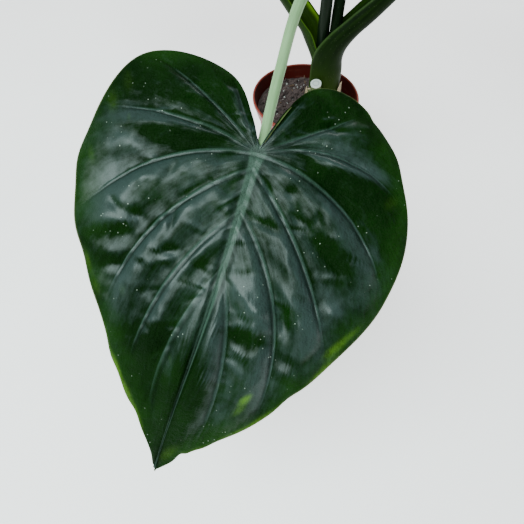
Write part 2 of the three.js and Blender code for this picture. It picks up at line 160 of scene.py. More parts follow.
def close_ends(piece):
    """Fills the open rims of a tube, each with its own cap."""
    with editing(piece):
        bpy.ops.mesh.select_all(action="DESELECT")
        bpy.ops.mesh.select_mode(type="EDGE")
        bpy.ops.mesh.select_non_manifold(extend=False, use_wire=False, use_multi_face=False)
        bpy.ops.mesh.fill_holes(sides=0)
        bpy.ops.mesh.select_mode(type="VERT")
        bpy.ops.mesh.select_all(action="SELECT")
        bpy.ops.mesh.normals_make_consistent(inside=False)


def apply(piece, kind, **settings):
    """Adds one modifier, sets it up and applies it."""
    alone(piece)
    modifier = piece.modifiers.new(kind.lower(), kind)
    for setting, value in settings.items():
        setattr(modifier, setting, value)
    bpy.ops.object.modifier_apply(modifier=modifier.name)


def settle(piece, nodes, finishes, angle=50):
    """Smooths a finished piece, gives it its materials, and hides the CAD parts it stands for."""
    alone(piece)
    bpy.ops.object.shade_smooth_by_angle(angle=math.radians(angle))
    piece.data.materials.clear()
    for finish in finishes:
        piece.data.materials.append(finish)
    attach(piece, "root")
    if nodes:
        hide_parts(*nodes)
    print(f"{piece.name}: {len(piece.data.polygons)} faces")
    return piece


# %% [markdown]
# ## Writing materials as sums
#
# A material is a graph of nodes. Adding every Math node by hand hides what it works out, so one
# small class wraps a socket and lets Python's own signs add the nodes: `1 - dirt * 0.4` becomes
# two Math nodes. A second class keeps the material, and adds every other node with one method.

# %% A class for sums, and a class for materials
class Value:
    """A number, colour or vector that a node hands on."""

    def __init__(self, finish, socket):
        self.finish = finish
        self.socket = socket

    def __add__(self, other):
        return self.finish.maths("ADD", self, other)

    def __sub__(self, other):
        return self.finish.maths("SUBTRACT", self, other)

    def __rsub__(self, other):
        return self.finish.maths("SUBTRACT", other, self)

    def __mul__(self, other):
        return self.finish.maths("MULTIPLY", self, other)

    __radd__ = __add__
    __rmul__ = __mul__


class Finish:
    """One material, and the ways to add to it."""

    def __init__(self, name):
        self.material = bpy.data.materials.new(name)
        self.material.use_nodes = True
        self.tree = self.material.node_tree
        self.tree.nodes.clear()

    def node(self, kind, settings=None, sockets=None, output=0):
        made = self.tree.nodes.new(kind)
        for setting, value in (settings or {}).items():
            setattr(made, setting, value)
        for socket, value in (sockets or {}).items():
            if isinstance(value, Value):
                self.tree.links.new(value.socket, made.inputs[socket])
            else:
                made.inputs[socket].default_value = value
        return Value(self, made.outputs[output]) if made.outputs else None

    def maths(self, operation, one, other):
        return self.node("ShaderNodeMath", {"operation": operation}, {0: one, 1: other})

    def place(self):
        return self.node("ShaderNodeTexCoord", output="Object")

    def read(self, name, output="Fac"):
        """A mark that was kept with the points, or with "Vector" three of them."""
        return self.node("ShaderNodeAttribute", {"attribute_name": name}, output=output)

    def axis(self, coordinates, name):
        return self.node("ShaderNodeSeparateXYZ", sockets={0: coordinates}, output=name)

    def stretched(self, coordinates, scale):
        return self.node("ShaderNodeMapping", sockets={"Vector": coordinates, "Scale": scale})

    def noise(self, coordinates, scale, detail=3.0, roughness=0.5):
        """Noise of one scale, or drawn out into streaks if each axis has a scale of its own."""
        if isinstance(scale, tuple):
            coordinates, scale = self.stretched(coordinates, scale), 1.0
        sockets = {"Vector": coordinates, "Scale": scale, "Detail": detail, "Roughness": roughness}
        return self.node("ShaderNodeTexNoise", sockets=sockets)

    def cells(self, coordinates, scale, feature="F1"):
        return self.node(
            "ShaderNodeTexVoronoi", {"feature": feature}, {"Vector": coordinates, "Scale": scale}
        )

    def step(self, value, low, high):
        """Rises softly from 0 at `low` to 1 at `high`."""
        sockets = {"Value": value, "From Min": low, "From Max": high}
        return self.node("ShaderNodeMapRange", {"interpolation_type": "SMOOTHSTEP"}, sockets)

    def mix(self, one, other, share):
        """Goes from one colour to the other as `share` goes from 0 to 1."""
        sockets = {"Factor": share, 6: one, 7: other}
        return self.node("ShaderNodeMix", {"data_type": "RGBA"}, sockets, output=2)

    def paint(self, color, **coats):
        """Lays coats over a colour in turn. Each is its own colour, and how much it covers."""
        for coat, cover in coats.values():
            color = self.mix(color, coat, cover)
        return color

    def shade(self, color, roughness, height=None, depth=0.1 * MM, shine=0.5, **fixed):
        """Ends the material in one Principled shader, with a bump if a height is given."""
        sockets = {"Base Color": color, "Roughness": roughness, **fixed}
        sockets["Specular IOR Level"] = shine
        if height is not None:
            sockets["Normal"] = self.node(
                "ShaderNodeBump", sockets={"Height": height, "Strength": 1.0, "Distance": depth}
            )
        shader = self.node("ShaderNodeBsdfPrincipled", sockets=sockets)
        self.node("ShaderNodeOutputMaterial", sockets={"Surface": shader})
        return self.material


def rgb(red, green, blue):
    return (red, green, blue, 1.0)


# %% [markdown]
# ## The form of a blade
#
# A leaf could be cut from a flat outline and bent, but then its creases would not follow its
# veins. Here the blade is a fan of rails instead: every rail starts on the midrib, runs out along
# a vein in a slight arc, and ends on the margin. Two numbers give any place on it, the rail (0 at
# the notch behind the stalk, 8 at the tip) and the share of the way out to the margin. The rails
# are the CAD model's own, in millimetres on the flattened blade, as [along, across] from the
# stalk.

# %% Rails of a blade
BLADE_LENGTH = 223
BLADE_THICKNESS = 0.9
MIDRIB_BEND = 4
MIDRIB_WAVE = 175
MIDRIB_DEPTH = 3.4
VEIN_DEPTH = 1.3
QUILT = 0.085
FOLD_HEIGHT = 1.6
CORD_HEIGHT = 0.5
CREASE_DEPTH = 0.75
GUTTER_DEPTH = 0.35
HOLLOW_DEPTH = 1.2
LEAN = 0.055
SAG = 14 / 110**2
RAILS = 8

STARTS = [0, 0, 0, 0, 0, 9, 35, 70, BLADE_LENGTH]
# Each rail: its end on the margin, the height of its arc, and how strongly its vein shows.
BROAD_HALF = [
    (-4, 0, 0, 0), (-40, 32, 0, 0.4), (-38, 87, 0.04, 0.8), (4, 107, 0.065, 0.8),
    (72, 97, 0.12, 1), (125, 62, 0.115, 1), (168, 36, 0.09, 0.9), (197, 14, 0.08, 0.7),
]
SLIM_HALF = [
    (-4, 0, 0, 0), (-49, 17, 0, 0.4), (-50, 54, -0.02, 0.8), (0, 98, 0.155, 0.8),
    (62, 105, 0.15, 1), (114, 84, 0.072, 1), (168, 51, 0.135, 0.9), (200, 18, 0.09, 0.7),
]

# Where the margin stands out or is drawn in between its rails: rail, width in rails, height.
BROAD_MARGIN = [
    (1.9, 0.25, -0.9), (3.5, 0.2, 2.8), (4.4, 0.22, -2.6), (5.5, 0.2, 2.2), (6.5, 0.25, -2.7),
    (7.8, 0.15, 2),
]
SLIM_MARGIN = [
    (0.8, 0.25, -1.2), (2.12, 0.08, -1), (2.5, 0.18, 2.3), (3.5, 0.35, 1.1), (5.5, 0.15, -1.9),
    (6.75, 0.15, 1.4), (7.25, 0.12, -3),
]


def bell(distance, width):
    """1 in the middle, and fading to almost 0 at twice the width."""
    return np.exp(-((distance / width) ** 2))


def rise(value, start, end):
    """Climbs on a straight line from 0 at `start` to 1 at `end`."""
    return np.clip((value - start) / (end - start), 0, 1)


def smooth(values, place):
    """A smooth value between neighbours in a list, at each place along it."""
    values = np.asarray(values, float)
    before = 2 * values[0] - values[1]
    after = 2 * values[-1] - values[-2]
    padded = np.concatenate([[before], values, [after]])
    i = np.minimum(np.floor(place).astype(int), len(values) - 2)
    t = place - i
    p0, p1, p2, p3 = padded[i], padded[i + 1], padded[i + 2], padded[i + 3]
    bend = t * (2 * p0 - 5 * p1 + 4 * p2 - p3 + t * (3 * (p1 - p2) + p3 - p0))
    return p1 + 0.5 * t * (p2 - p0 + bend)


def straight(values, place):
    """A value on the straight line between neighbours in a list."""
    return np.interp(place, np.arange(len(values)), values)


def midrib_across(along):
    return MIDRIB_BEND * np.sin(np.pi * np.maximum(along, 0) / MIDRIB_WAVE)


def on_blade(half, side, rail, share):
    """Where a place on the fan lies on the flattened blade, in millimetres."""
    rails = half + [(BLADE_LENGTH, side * midrib_across(BLADE_LENGTH), 0, 0)]
    along = straight(STARTS, rail)
    root = np.array([along, side * midrib_across(along)])
    reach = np.array([smooth([r[k] for r in rails], rail) for k in range(2)]) - root
    square = np.array([-reach[1], reach[0]])
    middle = root + reach / 2 + 2 * straight([r[2] for r in rails], rail) * square
    margin = BROAD_MARGIN if half is BROAD_HALF else SLIM_MARGIN
    wave = sum(height * bell(rail - at, width) for at, width, height in margin)
    end = root + (1 + wave / (np.hypot(*reach) + 1)) * reach
    rest = 1 - share
    place = rest**2 * root + 2 * share * rest * middle + share**2 * end
    return place[0], side * place[1]


def rail_spacing(half, side, i, share):
    """How far apart two neighbouring rails lie at a share, square to the first of them."""
    here, there = on_blade(half, side, i, share), on_blade(half, side, i + 1, share)
    behind = on_blade(half, side, i, np.maximum(share - 0.02, 0))
    ahead = on_blade(half, side, i, share + 0.02)
    forward, outward = ahead[0] - behind[0], ahead[1] - behind[1]
    across = (there[0] - here[0]) * outward - (there[1] - here[1]) * forward
    return np.abs(across) / np.hypot(forward, outward)


# %% [markdown]
# The blade hangs: it leaves the stalk at one slope and gets steeper towards its tip, and its two
# halves sag from the midrib. This is the same arc that the CAD model bends it along.

# %% Hanging a blade in the air
def hang(blade, along, across, lift):
    """The place in space of points on the flattened blade, in millimetres."""
    heading = math.radians(blade["heading"])
    first, last = [math.radians(slope) for slope in blade["slope"]]
    roll = math.radians(blade["roll"])
    curl = (last - first) / (BLADE_LENGTH * blade["size"])
    forward = np.array([-math.sin(heading), -math.cos(heading), 0])
    level = np.array([math.cos(heading), -math.sin(heading), 0])
    up = np.array([0, 0, 1])
    slope = (first + curl * along)[:, None]
    square = forward * np.sin(slope) + up * np.cos(slope)
    sideways = level * math.cos(roll) - square * math.sin(roll)
    normal = square * math.cos(roll) + level * math.sin(roll)
    run = forward * (np.sin(slope) - math.sin(first)) / curl
    drop = up * (np.cos(slope) - math.cos(first)) / curl
    sunk = (lift - SAG / blade["size"] * across**2)[:, None]
    return np.array(blade["at"]) + run + drop + sideways * across[:, None] + normal * sunk


# %% [markdown]
# ## The relief of a blade
#
# Seen close, each panel between two veins is a blister of its own. A vein is a pale, rounded cord
# that lies in the valley between two blisters, with a sharp crease along its lower side. On top of
# that the front blade has folds and dents, which catch the light or stay dark. They were placed
# one by one from the photograph. Its fine wrinkles, and all the folds of the other blades, come
# from seeded draws.

# %% Folds of the front blade
# Each fold: its middle [along, across], the direction it runs in (degrees from the midrib), its
# length, half its width, and its height, all in millimetres. Crests are up and dents are down.
FRONT_FOLDS = [
    (-15, -44, 87, 17, 4, -1.3), (-3, -40, 89, 22, 2.4, -0.9), (5, -61, 101, 19, 4, 1.2),
    (10, -56, 101, 20, 5.5, -1.7), (3, -28, 106, 17, 3.2, -1.3), (22, -76, 113, 15, 6, 1.2),
    (27, -45, -19, 9, 3, -1.2), (36, -60, 118, 10, 5, 0.9), (57, -72, 58, 8, 3, -1.2),
    (60, -58, 90, 9, 3, -1.3), (66, -70, 112, 17, 5, 1), (76, -69, 111, 17, 4, -1.2),
    (26, -8, -22, 8, 3.2, -1.1), (9, -17, -56, 10, 3, -1.2), (55, -34, 4, 8, 2.2, -1.3),
    (57, -39, 60, 6, 3.5, 0.8), (44, -27, 133, 7, 3.8, 0.9), (85, -66, 115, 14, 4, 0.8),
    (93, -62, 117, 12, 3, -0.8), (74, -32, 118, 8, 2.2, -1.2),
    (79, -31, 119, 7, 2.4, 1.1), (131, -42, 119, 9, 3, -0.5), (136, -39, 120, 7, 3, 0.3),
    (68, -13, -29, 16, 3.4, 1), (91, -25, -21, 15, 3, 0.9), (78, -11, -31, 19, 4.4, -1.2),
    (155, -26, 16, 18, 8, -1.2), (111, 9, 8, 14, 6, 0.9),
    (-6, 29, 90, 12, 3.4, -1.2), (0, 60, 89, 26, 7.5, -2.2), (-9, 57, 93, 24, 3.8, 1.4),
    (-18, 42, 103, 24, 5.5, 0.9), (-34, 32, 122, 8, 2, 0.8), (-31, 35, 128, 7, 2, -0.9),
    (-30, 42, 108, 8, 2, -0.9), (8, 22, 83, 6, 3.6, 0.7), (16, 27, 106, 5, 2.5, -0.8),
    (26, 34, 27, 9, 2.6, -0.9), (25, 48, 28, 6, 2, -0.8), (20, 54, 60, 8, 4, 0.9),
    (45, 63, 66, 19, 5, -2.2), (35, 87, 47, 12, 4.2, 1.2), (18, 13, 43, 6, 1.8, -0.8),
    (32, 26, 35, 5, 2, -0.7), (40, 22, 86, 9, 3, -1.3), (85, 20, 53, 12, 3.8, 1.3),
    (90, 33, 100, 9, 3, 1), (111, 33, 98, 15, 4.8, -1.9), (77, 46, 51, 13, 3.6, 1.2),
    (92, 50, 34, 14, 4, -1.5), (118, 61, 71, 9, 3.6, -0.8), (112, 72, 155, 10, 3.6, -1.1),
    (124, 61, 93, 8, 4.4, 1), (77, 76, 71, 8, 3, 1), (89, 69, 33, 10, 4, 1),
    (132, 31, 50, 12, 4.6, 1.1), (102, 88, 160, 9, 2.2, 0.8), (104, 84, 165, 10, 2, -0.9),
]
# Broad regions of the front blade with more or less painted sheen, in the same terms as the folds.
FRONT_SHEEN_PATCHES = [
    (-34, -78, 150, 30, 16, -0.4), (-26, -52, 105, 40, 20, -0.25), (20, 100, 75, 60, 12, -0.35),
    (-30, -30, 120, 22, 16, -0.15), (8, -50, 96, 30, 8, -0.6), (48, -79, 100, 16, 13, 0.5),
    (66, -62, 100, 16, 10, 0.1), (82, -68, 110, 22, 12, -0.35), (143, -24, 20, 30, 9, -0.7),
    (133, -41, 20, 8, 8, -0.4), (160, -30, 20, 26, 8, -0.5), (0, 66, 90, 34, 11, -0.9),
    (2, 44, 80, 16, 8, -0.3), (-13, 52, 95, 26, 6, 0.9), (-44, 26, 120, 26, 12, -0.4),
    (32, 86, 70, 22, 14, -0.2), (84, 28, 60, 20, 12, 0.45), (50, 66, 70, 20, 7, -0.5),
    (110, 33, 98, 16, 6, -0.6), (121, 58, 0, 8, 8, -0.3), (200, -2, 0, 40, 20, -0.6),
    (152, 10, 20, 30, 12, -0.4),
    (150, -6, -4, 50, 24, -0.45), (74, 72, 60, 18, 10, 0.15), (100, 62, 60, 26, 14, 0.15),
]
# Yellow-green patches: their middle [along, across], half the length and width, and how yellow.
FRONT_TINTS = [
    (148, 42, 5.5, 2.6, 1.6), (158, 40, 7, 3, 0.8), (99, 85, 12, 3.4, 1), (85, 93, 8, 3, 0.6),
    (-1, 86, 9, 5, 0.45), (110, -68, 9, 4, 0.5), (96, -78, 8, 3, 0.6), (154, -45, 8, 3, 0.6),
    (168, -32, 7, 3, 0.5), (184, -22, 12, 3.5, 0.7), (137, -10, 5, 2, 0.4), (105, -51, 6, 4, 0.4),
    (-1, -98, 12, 5, 0.5), (-16, -93, 12, 5, 0.4), (6, -82, 4, 2, 0.5), (34, -98, 8, 3.5, 0.5),
    (124, 82, 10, 3, 0.6), (162, 56, 12, 4, 0.7), (205, 4, 14, 5, 0.6),
]
MARGIN_SLANT = math.degrees(math.atan2(60, 100))
SPREAD = 0.8


def drawn_folds(seed, count, lengths, widths, heights):
    """Folds from a seeded draw, between the least and the most of each size."""
    draw = random.Random(seed)
    folds = []
    for _ in range(count):
        along = draw.uniform(-35, 160)
        reach = 95 * (1 - max(0, along) / 190)
        across = draw.uniform(-reach, reach)
        turn = math.copysign(1, across) * (75 + draw.uniform(-40, 40))
        height = draw.choice((-1, 1)) * draw.uniform(*heights)
        folds.append((along, across, turn, draw.uniform(*lengths), draw.uniform(*widths), height))
    return folds


BROAD_FOLDS = dict(count=46, lengths=(7, 20), widths=(2.4, 5), heights=(0.7, 1.6))
FINE_FOLDS = dict(count=150, lengths=(5, 13), widths=(1.3, 2.4), heights=(0.25, 0.6))


def mounds(along, across, folds):
    """How high the folds stand over each point, all together."""
    height = np.zeros_like(along)
    for middle_along, middle_across, turn, length, width, crest in folds:
        angle = math.radians(turn)
        one, other = along - middle_along, across - middle_across
        down = one * math.cos(angle) + other * math.sin(angle)
        beside = other * math.cos(angle) - one * math.sin(angle)
        height += crest * bell(down, SPREAD * length) * bell(beside, width)
    return height


def yellow_patches(along, across, tints):
    """How yellow each point is: every patch is drawn out along the nearest margin."""
    slanted = [
        (middle, beside, -math.copysign(MARGIN_SLANT, beside), length / SPREAD, width, strength)
        for middle, beside, length, width, strength in tints
    ]
    return mounds(along, across, slanted)


def ripples(along, across, seed, shortest, longest, count=14):
    """A gentle unevenness between -1 and 1: waves in many directions, from a seeded draw."""
    draw = random.Random(seed)
    height = np.zeros_like(along)
    for _ in range(count):
        turn = draw.uniform(0, math.pi)
        wave = draw.uniform(shortest, longest)
        ahead = along * math.cos(turn) + across * math.sin(turn)
        height += np.sin(2 * math.pi * (ahead / wave + draw.random()))
    return height / math.sqrt(count)


# %% [markdown]
# One function works out the whole relief, and the marks that the material reads later: how near a
# point is to a vein, how much painted sheen lies on it, and how yellow it is. The painted sheen is
# a pale grey laid most on the slopes that climb towards the tip, because they face the light, and
# taken off the upper lobes, the sides above the veins and the margin.

# %% Relief and marks
def wrinkles(blade, along, across):
    """The height of the folds, and of the finer unevenness on them."""
    folds = FOLD_HEIGHT * mounds(along, across, blade["folds"])
    wide = ripples(along, across, blade["seed"], 14, 34)
    narrow = ripples(along, across, blade["seed"] + 1, 5, 11)
    return folds, 0.24 * wide + 0.09 * narrow


def relief(blade, half, side, rail, share, along, across):
    """The height of each point, the depth of the ribs under it, and marks for the material."""
    nearest = np.round(rail)
    i = np.minimum(np.floor(rail), RAILS - 1)
    panel = rail - i
    spacing = rail_spacing(half, side, i, share)
    arch = np.abs(np.sin(np.pi * share))
    blister = QUILT * spacing * np.sin(np.pi * panel) * arch**0.6
    lean = LEAN * spacing * np.sin(2 * np.pi * panel) * arch
    wave = blade["wave"] * share**4 * np.sin(2.6 * rail * side + blade["phase"])

    # Below the vein is the side towards the tip.
    strength = np.array([r[3] for r in half] + [0])[nearest.astype(int)]
    shown = strength * np.sin(np.pi * np.clip(0.12 + 0.8 * share, 0, 1))
    shown = shown * rise(spacing, 0, 7) * rise(share, 0.93, 0.73)
    below = (rail - nearest) * spacing
    cord_width = 1.45 - 0.8 * share
    cord = bell(below, cord_width)
    crease = bell(below - 1.4 * cord_width - 0.4, 0.85)
    valley = bell(below, 4.5)

    ahead = rise(along, 0, BLADE_LENGTH)
    from_stalk = np.hypot(along, across)
    beside = np.abs(across - midrib_across(along))
    midrib_width = 3.5 * (1 - ahead) ** 1.8 + 0.55
    midrib = np.where(along > -1, np.exp(-((beside / midrib_width) ** 4)), 0)
    gutter = bell(beside - 1.5 * midrib_width, 0.5 * midrib_width + 0.3) * rise(along, 0, 12)
    fold = 1.2 * bell(share, 0.05) * rise(straight(STARTS, rail), 0, 12)

    inside = rise(share, 1, 0.88) * rise(spacing, 0, 12) * np.maximum(rise(rail, RAILS, 6.5), 0.12)
    folds, uneven = wrinkles(blade, along, across)
    higher, lower = wrinkles(blade, along + 0.5, across), wrinkles(blade, along - 0.5, across)
    climb = QUILT * np.cos(np.pi * panel) + 2 * LEAN * np.cos(2 * np.pi * panel)
    climb = (sum(higher) - sum(lower) + np.pi * climb * arch) * inside
    folds = folds * inside
    pleats = np.sin(2 * math.pi * share * (9 + nearest))
    pleats *= ripples(along, across, blade["seed"] + 2, 30, 60)
    uneven = (uneven + 0.1 * pleats * np.clip((share - 0.2) * (0.8 - share) * 9, 0, 1)) * inside

    lift = blister + lean + wave - fold + folds + uneven
    lift += shown * (CORD_HEIGHT * cord - valley - CREASE_DEPTH * crease)
    lift -= GUTTER_DEPTH * gutter + HOLLOW_DEPTH * bell(from_stalk, 9)

    under_midrib = MIDRIB_DEPTH * rise(along, 1, 13) * (1 - ahead / 1.1)
    under_midrib = under_midrib * bell(beside, midrib_width + 0.6)
    under_vein = VEIN_DEPTH * shown * (1 - 0.8 * share) * bell(below, 1.6)

    slow = ripples(along, across, blade["seed"] + 3, 30, 70)
    # painted sheen: pale grey on the slopes that face the light, less where they face away
    bloom = 0.6 + 0.16 * folds + 0.85 * climb + 0.05 * slow
    bloom += mounds(along, across, blade["sheen_patches"]) - 0.35 * rise(along, -6, -31)
    bloom -= 0.5 * shown * valley * (below < 0) + 0.5 * rise(share, 0.78, 1)
    yellow = yellow_patches(along, across, blade["tints"])
    yellow += rise(share, 0.95, 0.99) * rise(along, 70, 120) * (0.5 + 0.4 * slow)
    marks = {
        "vein": np.clip(shown * cord * (1.1 - 0.5 * share), 0, 1),
        "crease": np.clip(shown * crease + 0.5 * gutter, 0, 1),
        "midrib": np.clip(midrib + bell(from_stalk, 5.5), 0, 1),
        "bloom": np.clip(bloom, 0, 1),
        "share": share,
        "fan": triples(rail * 0.02, share * 0.1, 0),
        "tint": yellow,
    }
    return lift, np.maximum(under_midrib, under_vein), marks


# %% [markdown]
# ## Blade materials
#
# The upper face is a deep green under a waxy skin. A painted sheen, a pale grey, makes it grey
# where the light falls, and where there is none it stays a clear dark green. The veins are pale,
# the creases beside them and beside the midrib get a painted shade, near black, and the margin has
# a thin light line. The underside is paler and dull, as on most leaves. Noise alone could paint all
# of this, but the marks kept with each point put it where it belongs.

# %% Blade materials
def blade_face():
    """The glossy upper face."""
    face = Finish("blade_upper")
    flat = face.read("flat", "Vector")
    broad = face.noise(flat, 24.0, 3.0, 0.6)
    fine = face.noise(flat, 420.0, 4.0, 0.65)
    puckers = face.noise(flat, 190.0, 3.0, 0.6)
    net = face.step(face.cells(flat, 520.0, "DISTANCE_TO_EDGE"), 0.0, 0.12)
    strands = face.noise(face.read("fan", "Vector"), (450.0, 90.0, 1.0), 3.0, 0.6)
    share = face.read("share")
    crease = face.read("crease")
    uneven = (broad - 0.5) * 0.25 + (puckers - 0.5) * 0.5 + (strands - 0.5) * 0.75
    bloom = face.step(face.read("bloom") + uneven, 0.0, 1.0)
    outer = face.step(share, 0.74, 1.0) * face.step(broad, 0.3, 0.65)
    speckled = face.read("tint") * (0.6 + fine * 0.8)
    dust = face.step(face.cells(flat, 260.0), 0.13, 0.07)
    dust = dust * face.step(face.noise(flat, 46.0), 0.53, 0.6)

    dark, light = rgb(0.0012, 0.011, 0.0008), rgb(0.003, 0.021, 0.0015)
    green = face.paint(
        face.mix(dark, light, face.step(broad, 0.35, 0.7)),
        # painted sheen: a pale grey laid where the light is mirrored
        bloom=(rgb(0.028, 0.050, 0.045), bloom * 0.82),
        clear_margin=(rgb(0.008, 0.038, 0.004), outer * 0.8),
        yellow=(rgb(0.09, 0.20, 0.015), face.step(speckled, 0.15, 1.6) * 0.75),
        veins=(rgb(0.040, 0.080, 0.056), face.step(face.read("vein"), 0.1, 0.9) * 0.65),
        midrib=(rgb(0.054, 0.097, 0.070), face.step(face.read("midrib"), 0.2, 0.8) * 0.85),
        # painted shade: creases by the veins and gutters by the midrib painted near black
        creases=(rgb(0.001, 0.006, 0.001), crease * 0.8),
        hem=(rgb(0.16, 0.20, 0.07), face.step(share, 0.988, 0.999) * 0.5),
        dust=(rgb(0.45, 0.52, 0.42), dust * 0.65),
    )
    height = fine * 0.4 + puckers * 2.2 + strands * 1.5 + net * 0.2 + dust * 0.6
    rough = 0.5 + (fine - 0.5) * 0.12 + dust * 0.3
    wax = {
        "Coat Weight": bloom * 0.66 - crease * 0.3,
        "Coat Roughness": 0.32,
        "Coat Tint": rgb(0.88, 0.99, 1.0),
    }
    return face.shade(green, rough, height, 0.8 * MM, shine=0.03, **wax)


def blade_back():
    """The paler underside, with its veins standing out."""
    back = Finish("blade_under")
    flat = back.read("flat", "Vector")
    broad = back.noise(flat, 30.0, 3.0, 0.6)
    fine = back.noise(flat, 380.0, 3.0)
    green = back.paint(
        back.mix(rgb(0.050, 0.115, 0.036), rgb(0.085, 0.165, 0.055), broad),
        veins=(rgb(0.20, 0.29, 0.13), back.step(back.read("vein"), 0.1, 0.8) * 0.7),
        midrib=(rgb(0.24, 0.33, 0.16), back.step(back.read("midrib"), 0.1, 0.7) * 0.85),
    )
    height = fine * 0.6 + back.cells(flat, 420.0, "DISTANCE_TO_EDGE") * 0.6
    return back.shade(green, 0.52 + (fine - 0.5) * 0.15, height, 0.12 * MM)


blade_finishes = [blade_face(), blade_back()]
print("blade materials:", [finish.name for finish in blade_finishes])

# %% [markdown]
# ## Making a blade
#
# The grid's columns run from the left margin over the midrib to the right one, and its rows run
# from the notch to the tip. Rows crowd together at the veins, so a crease has points enough to be
# sharp while the smooth panels stay light. The sheet then gets its thickness from a Solidify
# modifier, which a vertex group makes thicker under the veins: those are the ribs on the back.

# %% Blades
RIB_LEVELS = 40
# Columns of a half, and rows between two rails.
FRONT_GRID, REAR_GRID = (92, 28), (56, 16)


def add_blade(name, blade, half_columns, rail_rows):
    piece, x, y = add_grid(name, 2 * half_columns, RAILS * rail_rows)
    x = 2 * x - 1
    side_of = np.where(x < -1e-6, -1, 1)
    share = np.abs(x) ** 1.25
    whole = np.minimum(np.floor(y * RAILS + 1e-6), RAILS - 1)
    part = np.clip(y * RAILS - whole, 0, 1)
    rail = np.clip(whole + part - 0.8 * np.sin(2 * np.pi * part) / (2 * np.pi), 0, RAILS)

    at = np.zeros((len(x), 3))
    flat = np.zeros((len(x), 3))
    depth = np.zeros(len(x))
    marks = {}
    for half, side in ((blade["left"], -1), (blade["right"], 1)):
        here = side_of == side
        along, across = on_blade(half, side, rail[here], share[here])
        lift, ribs, found = relief(blade, half, side, rail[here], share[here], along, across)
        size = blade["size"]
        at[here] = hang(blade, along * size, across * size, lift * size) * MM
        flat[here] = triples(along, across, blade["seed"] * 100) * MM
        depth[here] = ribs * size
        for mark, values in found.items():
            marks.setdefault(mark, np.zeros((len(x), *values.shape[1:])))[here] = values
    move_points(piece, at)
    note(piece, "flat", flat)
    for mark, values in marks.items():
        note(piece, mark, values)
    full = BLADE_THICKNESS + MIDRIB_DEPTH
    ribs = piece.vertex_groups.new(name="ribs")
    levels = np.round((BLADE_THICKNESS + depth) / full * RIB_LEVELS)
    for level in np.unique(levels):
        ribs.add(np.nonzero(levels == level)[0].tolist(), level / RIB_LEVELS, "REPLACE")
    weld(piece, sheet=True)
    piece.data.materials.append(None)
    apply(
        piece, "SOLIDIFY", thickness=full * MM, offset=-1, vertex_group="ribs",
        material_offset=1, material_offset_rim=0, use_rim=True,
    )
    node = name.replace("heart_", "leaf_") + "_blade"
    return settle(piece, [node], blade_finishes, angle=60)


BLADES = {
    "heart_1": dict(
        at=(-51.8, -225.4, 235.2), heading=23.5, slope=(27, 52), roll=11, size=1,
        left=BROAD_HALF, right=SLIM_HALF, wave=1.5, phase=0.4, seed=1,
        folds=FRONT_FOLDS + drawn_folds(11, **FINE_FOLDS), sheen_patches=FRONT_SHEEN_PATCHES, tints=FRONT_TINTS,
    ),
    "heart_2": dict(
        at=(221, 22, 333.5), heading=-78, slope=(28, 62), roll=-4, size=0.9,
        left=SLIM_HALF, right=BROAD_HALF, wave=2.4, phase=1.7, seed=2,
        folds=drawn_folds(12, **BROAD_FOLDS), sheen_patches=[], tints=FRONT_TINTS[6:13],
    ),
    "heart_3": dict(
        at=(-186, 129, 333.5), heading=124, slope=(26, 58), roll=5, size=0.95,
        left=SLIM_HALF, right=BROAD_HALF, wave=2.2, phase=3.1, seed=3,
        folds=drawn_folds(13, **BROAD_FOLDS), sheen_patches=[], tints=FRONT_TINTS[2:9],
    ),
    "heart_4": dict(
        at=(63.5, 116, 409), heading=200, slope=(34, 68), roll=-3, size=0.86,
        left=BROAD_HALF, right=SLIM_HALF, wave=2.2, phase=4.6, seed=4,
        folds=drawn_folds(14, **BROAD_FOLDS), sheen_patches=[], tints=FRONT_TINTS[9:16],
    ),
}
for name, blade in BLADES.items():
    add_blade(name, blade, *(FRONT_GRID if name == "heart_1" else REAR_GRID))

# %% [markdown]
# ## Stalks and sheaths
#
# Each stalk is round where it holds its blade. Lower down it opens into a trough, whose thin wings
# wrap the younger stalks: that is the sheath. One section does for all of it, a crescent that
# closes into a circle. The stations are the CAD model's own: a centre, the trough's radius, how
# far the wings reach round to each side in degrees, the thickness at the back and at the edges,
# and how far the section stays level. A loft through many such sections gives the piece.

# %% Stations of the stalks
def section(at, radius, wrap, keel, wing=0.5, level=1):
    left, right = wrap
    return dict(
        at=at, radius=radius, left=left, right=right, keel=keel, wing=wing, level=level
    )


def rod(at, radius, level=0):
    return section(at, 0, (90, 90), radius, radius, level)


FOOT_LEVEL = 62
